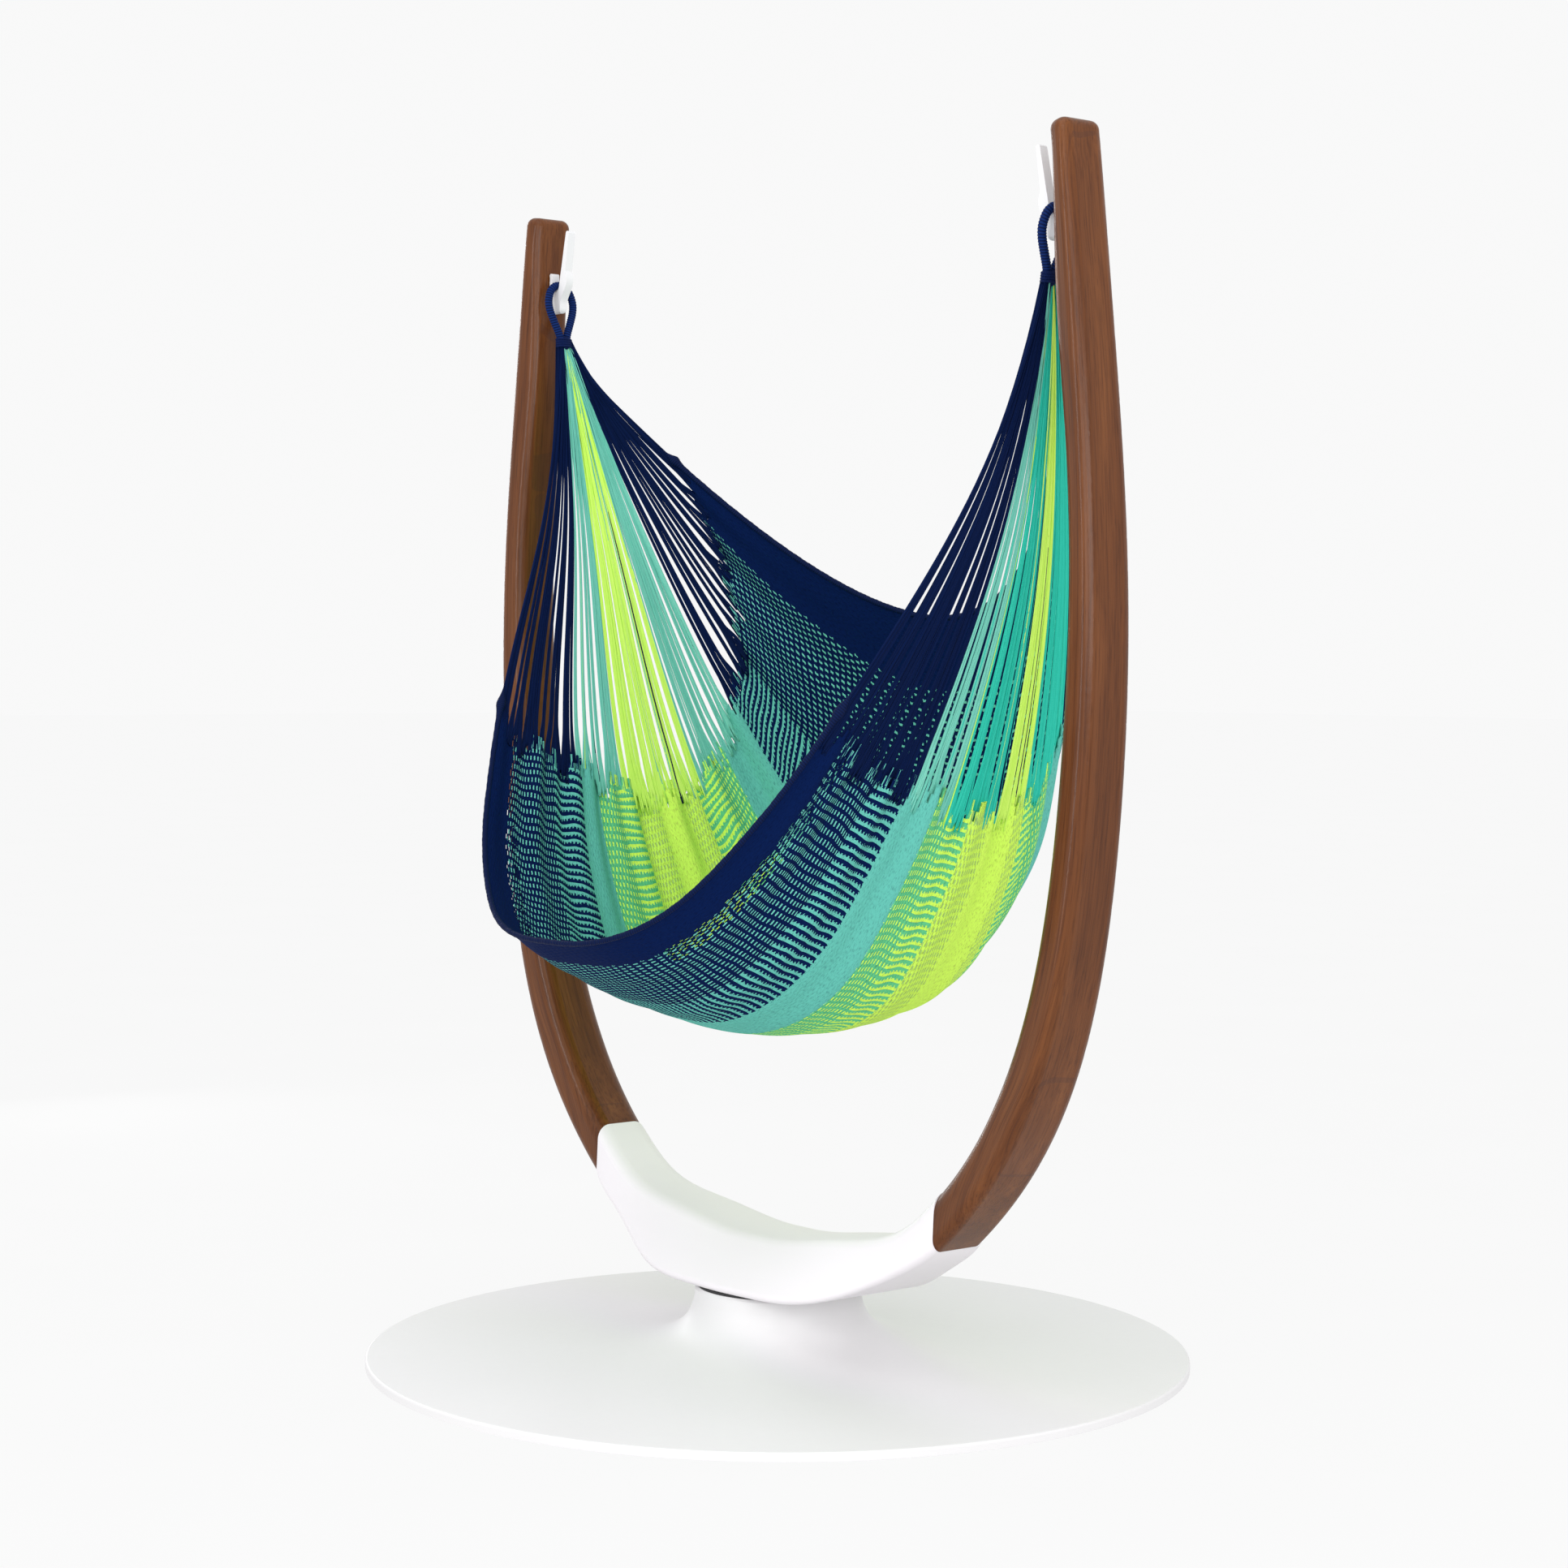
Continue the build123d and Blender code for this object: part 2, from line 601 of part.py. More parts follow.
save(hook_right.part, "hook_right")

with BuildPart() as hook_left:
    mirror(hook_right.part, about=Plane.YZ)
save(hook_left.part, "hook_left")


def add_rod(radius, height, start, end):
    """A rod along X in the plane of the arms."""
    with BuildSketch(Plane.YZ.offset(start)) as end_face:
        with Locations((0, height)):
            Circle(radius)
    extrude(end_face.sketch, amount=end - start)


with BuildPart() as hook_studs:
    add_rod(HOOK_STUD_R, HOOK_STUD_Z, HOOK_STUD_IN, HOOK_STUD_OUT)
    mirror(about=Plane.YZ)
save(hook_studs.part, "hook_studs")

with BuildPart() as hook_inserts:
    add_rod(INSERT_R, HOOK_STUD_Z, INSERT_IN, INSERT_OUT)
    with BuildSketch(Plane.YZ.offset(INSERT_IN)):
        with Locations((0, HOOK_STUD_Z)):
            Circle(HOOK_STUD_R + RUNNING)
    extrude(amount=HOOK_STUD_OUT + 1 - INSERT_IN, mode=Mode.SUBTRACT)
    mirror(about=Plane.YZ)
save(hook_inserts.part, "hook_inserts")

with BuildPart() as hook_pins:
    add_rod(HOOK_PIN_R, HOOK_PIN_Z, HOOK_PIN_IN, HOOK_PIN_OUT)
    mirror(about=Plane.YZ)
save(hook_pins.part, "hook_pins")

# ---------------------------------------------------------------- rope loops and whippings
leg_drop = WHIP_START - EYE_R
reach = math.hypot(LEG_HALF, leg_drop)
touch = math.acos(EYE_R / reach) - math.atan2(leg_drop, LEG_HALF)
contact = (EYE_R * math.cos(touch), EYE_R * math.sin(touch))
print("loop leg meets the eye at", contact)

with BuildPart() as loop_right:
    with BuildLine(eye_plane) as loop_route:
        rise = Line((LEG_HALF, -leg_drop), contact)
        over = ThreePointArc(rise @ 1, (0, EYE_R), (-contact[0], contact[1]))
        fall = Line(over @ 1, (-LEG_HALF, -leg_drop))
    with BuildSketch(Plane(origin=loop_route.line @ 0, z_dir=loop_route.line % 0)):
        Circle(ROPE_R)
    sweep()
save(loop_right.part, "loop_right")

with BuildPart() as loop_left:
    mirror(loop_right.part, about=Plane.YZ)
save(loop_left.part, "loop_left")

whip_origin = Vector(LOOP_TOP[0], 0, LOOP_TOP[1]) + down * (WHIP_START + ROPE_R * 0.25)
whip_plane = Plane(origin=whip_origin, x_dir=(0, 1, 0), z_dir=down)

with BuildPart() as whipping_right:
    with BuildSketch(whip_plane):
        Ellipse(WHIP_HALF_Y, WHIP_HALF_X)
    extrude(amount=WHIP_LENGTH)
    fillet(whipping_right.edges(), 3.0)
save(whipping_right.part, "whipping_right")

with BuildPart() as whipping_left:
    mirror(whipping_right.part, about=Plane.YZ)
save(whipping_left.part, "whipping_left")

# ---------------------------------------------------------------- hammock
neck_origin = whip_origin + down * (WHIP_LENGTH + 0.3)
fan_middle = cloth_point(FAN_END, 0.5)
neck_run = (fan_middle - neck_origin).normalized()

with BuildPart() as gather_right:
    with BuildSketch(Plane(origin=neck_origin, x_dir=(0, 1, 0), z_dir=down)):
        Ellipse(WHIP_HALF_Y - 4, WHIP_HALF_X - 3)
    with BuildSketch(
        Plane(origin=neck_origin + neck_run * NECK_LENGTH, x_dir=(0, 1, 0), z_dir=neck_run)
    ):
        Ellipse(NECK_HALF_Y, NECK_HALF_X)
    loft()
save(gather_right.part, "gather_right")

with BuildPart() as gather_left:
    mirror(gather_right.part, about=Plane.YZ)
save(gather_left.part, "gather_left")

with BuildPart() as fan_right:
    thicken(cloth_face(FAN_START, FAN_END, 8), amount=CLOTH_T / 2, both=True)
    with Locations(Plane(origin=neck_origin, x_dir=(0, 1, 0), z_dir=neck_run)):
        Cylinder(
            NECK_HALF_Y + 4,
            NECK_LENGTH + 2,
            align=(Align.CENTER, Align.CENTER, Align.MIN),
            mode=Mode.SUBTRACT,
        )
save(fan_right.part, "fan_right")

with BuildPart() as fan_left:
    mirror(fan_right.part, about=Plane.YZ)
save(fan_left.part, "fan_left")

with BuildPart() as woven_bed:
    bed_start = FRONT_BAND_SHARE + FRONT_BAND_GAP
    thicken(cloth_face(-BED_SHARE, BED_SHARE, 20, bed_start, 1.0), amount=CLOTH_T / 2, both=True)
save(woven_bed.part, "woven_bed")

with BuildPart() as front_band:
    band_face = cloth_face(-BED_SHARE, BED_SHARE, 20, 0.0, FRONT_BAND_SHARE)
    thicken(band_face, amount=FRONT_BAND_T / 2, both=True)
save(front_band.part, "front_band")

hung = [loop_left, loop_right, whipping_left, whipping_right, gather_left, gather_right]
hung += [fan_left, fan_right, woven_bed, front_band]
weight = sum(piece.part.volume for piece in hung)
centre = sum((piece.part.center(CenterOf.MASS) * piece.part.volume for piece in hung), Vector())
print("hung pieces' centre of volume", centre / weight, "volume", weight)
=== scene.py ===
import json
import math
import random

import bpy
import numpy as np
from mathutils import Matrix, Vector


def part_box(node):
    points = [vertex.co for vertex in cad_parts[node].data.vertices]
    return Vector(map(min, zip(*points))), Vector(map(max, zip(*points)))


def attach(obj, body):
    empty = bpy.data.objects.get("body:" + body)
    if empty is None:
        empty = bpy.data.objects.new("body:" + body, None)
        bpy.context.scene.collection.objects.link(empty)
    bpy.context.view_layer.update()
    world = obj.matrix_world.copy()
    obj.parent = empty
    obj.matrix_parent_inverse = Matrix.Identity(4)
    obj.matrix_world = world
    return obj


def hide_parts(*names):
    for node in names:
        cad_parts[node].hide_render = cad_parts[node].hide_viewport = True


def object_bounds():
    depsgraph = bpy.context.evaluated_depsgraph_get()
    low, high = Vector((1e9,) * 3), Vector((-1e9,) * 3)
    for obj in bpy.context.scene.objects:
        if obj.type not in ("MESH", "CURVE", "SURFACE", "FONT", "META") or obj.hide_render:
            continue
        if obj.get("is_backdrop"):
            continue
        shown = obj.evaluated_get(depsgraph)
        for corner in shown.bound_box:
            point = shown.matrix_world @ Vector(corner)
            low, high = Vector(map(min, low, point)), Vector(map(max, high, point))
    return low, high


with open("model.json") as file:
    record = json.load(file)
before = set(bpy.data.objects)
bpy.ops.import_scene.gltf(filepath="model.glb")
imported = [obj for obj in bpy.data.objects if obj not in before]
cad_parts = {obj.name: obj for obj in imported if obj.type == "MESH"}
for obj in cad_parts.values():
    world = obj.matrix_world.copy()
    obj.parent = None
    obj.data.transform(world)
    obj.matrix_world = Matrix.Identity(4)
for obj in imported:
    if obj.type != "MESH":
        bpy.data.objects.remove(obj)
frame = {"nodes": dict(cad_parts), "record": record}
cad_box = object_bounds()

# Hammock chair on its swivelling stand. Metres, +Z up, the row's own frame.
# The CAD frame carries the wood, the castings and the steel. This script adds the materials, and makes
# the hammock itself: strings, woven bed, edge rolls, whippings and rope loops.

random.seed(11)
rng = np.random.default_rng(11)

# ---------------------------------------------------------------- camera
CAMERA_AZIMUTH = math.radians(50.5)
CAMERA_TILT = 0.0361
CAMERA_ROLL = 0.0057
CAMERA_DISTANCE = 5.177
CAMERA_HEIGHT = 1.1786
CAMERA_LENS = 69.94
CAMERA_SHIFT = (0.00195, -0.00417)
CAMERA_SENSOR = 36.0
CAMERA_FAR = 200.0


def make_camera():
    """The camera: a long lens a little above the seat, looking slightly down."""
    data = bpy.data.cameras.new("camera")
    data.lens = CAMERA_LENS
    data.sensor_width = CAMERA_SENSOR
    data.shift_x, data.shift_y = CAMERA_SHIFT
    data.clip_end = CAMERA_FAR
    camera = bpy.data.objects.new("camera", data)
    bpy.context.scene.collection.objects.link(camera)
    a, t, roll = CAMERA_AZIMUTH, CAMERA_TILT, CAMERA_ROLL
    forward = Vector((-math.sin(a) * math.cos(t), math.cos(a) * math.cos(t), -math.sin(t)))
    right = Vector((math.cos(a), math.sin(a), 0.0))
    up = right.cross(forward)
    across = right * math.cos(roll) + up * math.sin(roll)
    above = up * math.cos(roll) - right * math.sin(roll)
    turn = Matrix((across, above, -forward)).transposed().to_4x4()
    place = Vector((math.sin(a), -math.cos(a), 0.0)) * CAMERA_DISTANCE
    place.z = CAMERA_HEIGHT
    camera.matrix_world = Matrix.Translation(place) @ turn
    bpy.context.scene.camera = camera


# ---------------------------------------------------------------- node graphs
def colour(r, g, b):
    """A screen colour, 0 to 255 a channel, as linear light."""
    steps = [c / 255.0 for c in (r, g, b)]
    linear = [c / 12.92 if c <= 0.04045 else ((c + 0.055) / 1.055) ** 2.4 for c in steps]
    return (*linear, 1.0)


class Graph:
    """A material's node tree, with short names for the nodes used here."""

    def __init__(self, name, roughness=0.5, **constant):
        self.material = bpy.data.materials.new(name)
        self.material.use_nodes = True
        self.tree = self.material.node_tree
        self.shader = self.tree.nodes["Principled BSDF"]
        self.shader.inputs["Roughness"].default_value = roughness
        for key, value in constant.items():
            self.shader.inputs[key.replace("_", " ")].default_value = value

    def add(self, kind, inputs, **settings):
        """A node of this kind, its inputs set to numbers or linked to sockets."""
        node = self.tree.nodes.new("ShaderNode" + kind)
        for key, value in settings.items():
            setattr(node, key, value)
        for key, value in inputs.items():
            if isinstance(value, bpy.types.NodeSocket):
                self.tree.links.new(value, node.inputs[key])
            else:
                node.inputs[key].default_value = value
        return node

    def math(self, operation, a, b=0.0):
        return self.add("Math", {0: a, 1: b}, operation=operation).outputs[0]

    def place(self):
        return self.add("TexCoord", {}).outputs["Object"]

    def attribute(self, name):
        return self.add("Attribute", {}, attribute_name=name)

    def split(self, vector):
        return self.add("SeparateXYZ", {0: vector}).outputs

    def join(self, x, y, z):
        return self.add("CombineXYZ", {0: x, 1: y, 2: z}).outputs[0]

    def stretch(self, x, y, z, scales):
        """A place whose three axes are scaled, so that a noise there is drawn out."""
        return self.join(*(self.math("MULTIPLY", v, k) for v, k in zip((x, y, z), scales)))

    def noise(self, vector, scale, detail=2.0):
        inputs = {"Vector": vector, "Scale": scale, "Detail": detail}
        return self.add("TexNoise", inputs).outputs["Fac"]

    def ramp(self, factor, stops, interpolation="LINEAR"):
        node = self.add("ValToRGB", {0: factor})
        node.color_ramp.interpolation = interpolation
        elements = node.color_ramp.elements
        while len(elements) > 1:
            elements.remove(elements[-1])
        elements[0].position, elements[0].color = stops[0]
        for position, value in stops[1:]:
            elements.new(position).color = value
        return node.outputs[0]

    def mix(self, factor, a, b, blend="MIX"):
        node = self.add("Mix", {}, data_type="RGBA", blend_type=blend)
        for key, value in ((0, factor), (6, a), (7, b)):
            if isinstance(value, bpy.types.NodeSocket):
                self.tree.links.new(value, node.inputs[key])
            else:
                node.inputs[key].default_value = value
        return node.outputs[2]

    def scale_range(self, value, low, high):
        inputs = {"Value": value, "To Min": low, "To Max": high}
        return self.add("MapRange", inputs).outputs[0]

    def set(self, socket, value):
        self.tree.links.new(value, self.shader.inputs[socket])

    def bump(self, height, depth, strength):
        return self.add("Bump", {"Height": height, "Distance": depth, "Strength": strength}).outputs[0]


# ---------------------------------------------------------------- hard materials
# The arms' middle line is a curve over this height, and the grain follows it.
CURVE_HEIGHT = 2.1
# How quickly the wood changes: through the laminates, across the arm and along it.
BROAD_GRAIN = (30.0, 16.0, 1.0)
FINE_GRAIN = (330.0, 260.0, 7.0)
PORE_GRAIN = (700.0, 600.0, 22.0)
GRAIN_SWAY = 0.03
LAMINATE_START = 0.004
HALF_LAMINATE = 0.012
HALF_GLUE_LINE = 0.00045
# Noise scales of the other hard materials, per metre.
TONE_SCALE = 3.0
PEEL_SCALE = 420.0
DUST_SCALE = 60.0
MARK_SCALE = 160.0
MOULD_SCALE = 700.0


def centre_curve(node_name, bins=14):
    """(height, distance from the swivel's axis) of an arm's middle line, read from the CAD arm."""
    low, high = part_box(node_name)
    points = np.array([v.co for v in frame["nodes"][node_name].data.vertices])
    out = []
    edges = np.linspace(low.z, high.z, bins + 1)
    for a, b in zip(edges[:-1], edges[1:]):
        band = points[(points[:, 2] >= a) & (points[:, 2] <= b)]
        if len(band) > 3:
            reach = np.abs(band[:, 0])
            out.append(((a + b) / 2, (reach.min() + reach.max()) / 2))
    return out


def wood_material():
    """Satin oiled laminated hardwood whose grain follows the bent arm."""
    g = Graph("wood_arm", 0.36, Coat_Weight=0.3, Coat_Roughness=0.2, Specular_IOR_Level=0.1)
    x, y, z = g.split(g.place())[0:3]
    reach = g.math("ABSOLUTE", x)
    curve = g.add("FloatCurve", {"Value": g.math("DIVIDE", z, CURVE_HEIGHT)})
    mapping = curve.mapping.curves[0]
    line = centre_curve("arm_right")
    mapping.points[0].location = (0.0, line[0][1])
    mapping.points[-1].location = (1.0, line[-1][1])
    for height, distance in line:
        mapping.points.new(height / CURVE_HEIGHT, distance)
    curve.mapping.update()
    depth = g.math("SUBTRACT", reach, curve.outputs[0])
    sway = g.noise(g.join(depth, y, g.math("MULTIPLY", z, 0.6)), 3.0, 2.0)
    depth = g.math("ADD", depth, g.math("MULTIPLY", g.math("SUBTRACT", sway, 0.5), GRAIN_SWAY))
    broad = g.noise(g.stretch(depth, y, z, BROAD_GRAIN), 1.6, 3.0)
    fine = g.noise(g.stretch(depth, y, z, FINE_GRAIN), 1.0, 4.0)
    pores = g.noise(g.stretch(depth, y, z, PORE_GRAIN), 1.0, 2.0)
    tint = g.ramp(
        broad,
        [
            (0.25, colour(84, 45, 19)),
            (0.45, colour(96, 53, 23)),
            (0.6, colour(105, 60, 28)),
            (0.8, colour(116, 69, 34)),
        ],
    )
    streak_stops = [(0.3, colour(212, 204, 198)), (0.55, (1, 1, 1, 1)), (0.8, colour(255, 252, 250))]
    streak = g.ramp(fine, streak_stops)
    tint = g.mix(1.0, tint, streak, "MULTIPLY")
    speck = g.ramp(pores, [(0.28, colour(150, 130, 120)), (0.42, (1, 1, 1, 1))])
    tint = g.mix(0.5, tint, speck, "MULTIPLY")
    layers = g.math("PINGPONG", g.math("ADD", depth, LAMINATE_START), HALF_LAMINATE)
    glue = g.math("LESS_THAN", layers, HALF_GLUE_LINE)
    tint = g.mix(g.math("MULTIPLY", glue, 0.35), tint, colour(70, 40, 28))
    g.set("Base Color", tint)
    g.set("Roughness", g.scale_range(fine, 0.32, 0.46))
    g.set("Normal", g.bump(g.math("ADD", fine, g.math("MULTIPLY", pores, 0.5)), 0.0004, 0.5))
    return g.material


def paint_material(name, tone, roughness, grain):
    """Powder coat: a faint orange peel and a slow change of tone."""
    g = Graph(name, roughness, Specular_IOR_Level=0.4)
    place = g.place()
    slow = g.noise(place, TONE_SCALE, 2.0)
    peel = g.noise(place, PEEL_SCALE, 2.0)
    dust = g.noise(place, DUST_SCALE, 3.0)
    low = tuple(c * 0.965 for c in tone[:3]) + (1.0,)
    g.set("Base Color", g.mix(slow, low, tone))
    g.set("Roughness", g.scale_range(dust, roughness - 0.05, roughness + 0.08))
    g.set("Normal", g.bump(peel, 0.0002, grain))
    return g.material


def metal_material(name, tone, roughness, stretch):
    """Bare or plated metal with turned or drawn marks."""
    g = Graph(name, roughness, Metallic=1.0)
    x, y, z = g.split(g.place())[0:3]
    marks = g.noise(g.join(x, y, g.math("MULTIPLY", z, stretch)), MARK_SCALE, 3.0)
    low = tuple(c * 0.8 for c in tone[:3]) + (1.0,)
    g.set("Base Color", g.mix(marks, low, tone))
    g.set("Roughness", g.scale_range(marks, roughness - 0.08, roughness + 0.12))
    g.set("Normal", g.bump(marks, 0.0001, 0.4))
    return g.material


def moulded_material(name, tone, roughness):
    """Rubber or moulded plastic."""
    g = Graph(name, roughness)
    grain = g.noise(g.place(), MOULD_SCALE, 2.0)
    high = tuple(min(1.0, c * 1.5 + 0.01) for c in tone[:3]) + (1.0,)
    g.set("Base Color", g.mix(grain, tone, high))
    g.set("Normal", g.bump(grain, 0.0002, 0.5))
    return g.material


def dress_frame():
    """Gives each carried-over CAD node whose slot names one of the materials made here that material."""
    made = {
        "wood": wood_material(),
        "base_paint": paint_material("base_powder_coat", colour(222, 221, 222), 0.42, 0.25),
        "cradle_paint": paint_material("cradle_powder_coat", colour(233, 229, 233), 0.38, 0.3),
        "hook_paint": paint_material("hook_powder_coat", colour(226, 226, 228), 0.36, 0.35),
        "steel": metal_material("zinc_steel", colour(176, 178, 182), 0.35, 0.2),
        "bright_steel": metal_material("ground_steel", colour(205, 206, 208), 0.2, 4.0),
        "brass": metal_material("machined_brass", colour(196, 160, 92), 0.3, 3.0),
        "rubber": moulded_material("black_rubber", colour(28, 28, 30), 0.7),
        "bush_plastic": moulded_material("bush_plastic", colour(52, 52, 56), 0.5),
    }
    slots = {s["node"]: s["material_slot"] for s in frame["record"]["subparts"]}
    for name, node in frame["nodes"].items():
        if slots[name] in made:
            node.data.materials.clear()
            node.data.materials.append(made[slots[name]])
            for polygon in node.data.polygons:
                polygon.material_index = 0


# ---------------------------------------------------------------- the hammock's shape
# A point lies at an angle and a radius about the line through the two gathering points. Angles are in
# degrees from straight down, back positive. FRONT_ANGLE runs from the middle of the hammock to a
# gathering point. The other lists run from the front rim to the back rim: the radius at the middle, the
# power of the curve between the gathering points, and the share of the way at which the weave ends.
FRONT_ANGLE = [-25.3, -25.0, -24.0, -23.0, -20.5, -12.0]
BACK_ANGLE = 37.0
MID_RADIUS = [1.131, 1.175, 1.200, 1.155, 0.975, 0.616]
ROUNDNESS = [2.75, 2.7, 3.0, 2.9, 2.35, 1.95]
FULLNESS = 0.93
WEAVE_START = [0.715, 0.70, 0.715, 0.705, 0.69, 0.70, 0.78]
CLOTH_WIDTH = 1.41
# On the right: where the surface gathers, the top of the loop's eye, and how far below it strings start.
GATHER = Vector((0.637, 0.0, 1.760))
LOOP_TOP = Vector((0.655, 0.0, 1.884))
STRINGS_TOP = 0.106


def eased(values, t):
    """A smooth curve through evenly spaced values, read at t from 0 to 1."""
    v = np.asarray(values, float)
    v = np.concatenate(([2 * v[0] - v[1]], v, [2 * v[-1] - v[-2]]))
    place = np.clip(t, 0.0, 1.0) * (len(v) - 3)
    i = np.minimum(place.astype(int), len(v) - 4)
    f = place - i
    p, a, b, n = v[i], v[i + 1], v[i + 2], v[i + 3]
    return a + 0.5 * f * (b - p + f * (2 * p - 5 * a + 4 * b - n + f * (3 * (a - b) + n - p)))


def cloth(share, across):
    """Points of the hammock. share runs from -1 to 1 between the gathering points, across from 0 to 1."""
    share, across = np.broadcast_arrays(np.asarray(share, float), np.asarray(across, float))
    reach = np.abs(share)
    front = eased(FRONT_ANGLE, reach)
    angle = np.radians(front + (BACK_ANGLE - front) * across)
    drop = np.maximum(1.0 - reach ** eased(ROUNDNESS, across), 0.0)
    radius = eased(MID_RADIUS, across) * drop**FULLNESS
    return np.stack(
        [share * GATHER.x, radius * np.sin(angle), GATHER.z - radius * np.cos(angle)], axis=-1
    )


def normals_of(grid):
    """Unit normals of a grid of points, facing away from the sitter."""
    along = np.gradient(grid, axis=0)
    over = np.gradient(grid, axis=1)
    n = np.cross(along, over)
    return n / np.maximum(np.linalg.norm(n, axis=-1, keepdims=True), 1e-9)


def new_piece(name, points, faces, material, body):
    """A mesh object in the row frame that rides on a body."""
    mesh = bpy.data.meshes.new(name)
    mesh.from_pydata(points, [], faces)
    mesh.materials.append(material)
    mesh.polygons.foreach_set("use_smooth", [True] * len(mesh.polygons))
    mesh.update()
    piece = bpy.data.objects.new(name, mesh)
    bpy.context.scene.collection.objects.link(piece)
    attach(piece, body)
    return piece


def add_attribute(piece, name, values):
    """A vector at each vertex for the material to read."""
    attribute = piece.data.attributes.new(name, "FLOAT_VECTOR", "POINT")
    attribute.data.foreach_set("vector", np.asarray(values, np.float32).ravel())


# ---------------------------------------------------------------- woven bed
NAVY = colour(5, 25, 70)
NAVY_DEEP = colour(3, 16, 48)
AQUA = colour(98, 186, 172)
LIME = colour(208, 250, 98)
GREEN = colour(98, 198, 138)
OLIVE = colour(162, 206, 116)
TICK = colour(104, 190, 174)

# Bands from the front edge to the back: start, ground, second colour, and how the second one shows:
# 0 not at all, 0.5 as rows of short dashes, 1 as whole rows.
BANDS = [
    (0.000, NAVY, NAVY, 0.0),
    (0.054, NAVY, TICK, 0.5),
    (0.165, NAVY, AQUA, 1.0),
    (0.245, AQUA, AQUA, 0.0),
    (0.305, GREEN, LIME, 0.5),
    (0.355, GREEN, LIME, 1.0),
    (0.400, LIME, OLIVE, 0.5),
    (0.455, LIME, LIME, 0.0),
    (0.520, LIME, OLIVE, 0.5),
    (0.555, GREEN, LIME, 1.0),
    (0.610, GREEN, LIME, 0.5),
    (0.650, AQUA, AQUA, 0.0),
    (0.720, NAVY, AQUA, 1.0),
    (0.800, NAVY, TICK, 0.5),
    (0.930, NAVY, NAVY, 0.0),
]
ROW_PITCH = 0.0155
DASH_PITCH = 0.0084
CHEVRON_WIDTH = 0.034
# Rows climb in chevrons and slant, by so many rows for each metre across.
CHEVRON_RISE = 5.0
ROW_SLANT = 2.0
# Shares of a row's or a dash's pitch: how far each wanders, and how much of the pitch it fills.
ROW_WANDER = 1.6
DASH_WANDER = 0.3
DASH_WIDTH = 0.36
DASH_HEIGHT = 0.56
ROW_HEIGHT = 0.36
ROW_STEP = 0.2
ROW_RAG = 0.5
# The painted shade of the net's holes: the share of a dash's pitch where it begins, and its near-black
# colour.
HOLE_SHADE_FROM = 0.86
PAINTED_HOLE_SHADE = (0.002, 0.004, 0.012, 1.0)
# How quickly the strokes of the tufts and the fine ribs change, across and along.
STROKE_GRAIN = (260.0, 20.0)
RIB_GRAIN = (520.0, 120.0)


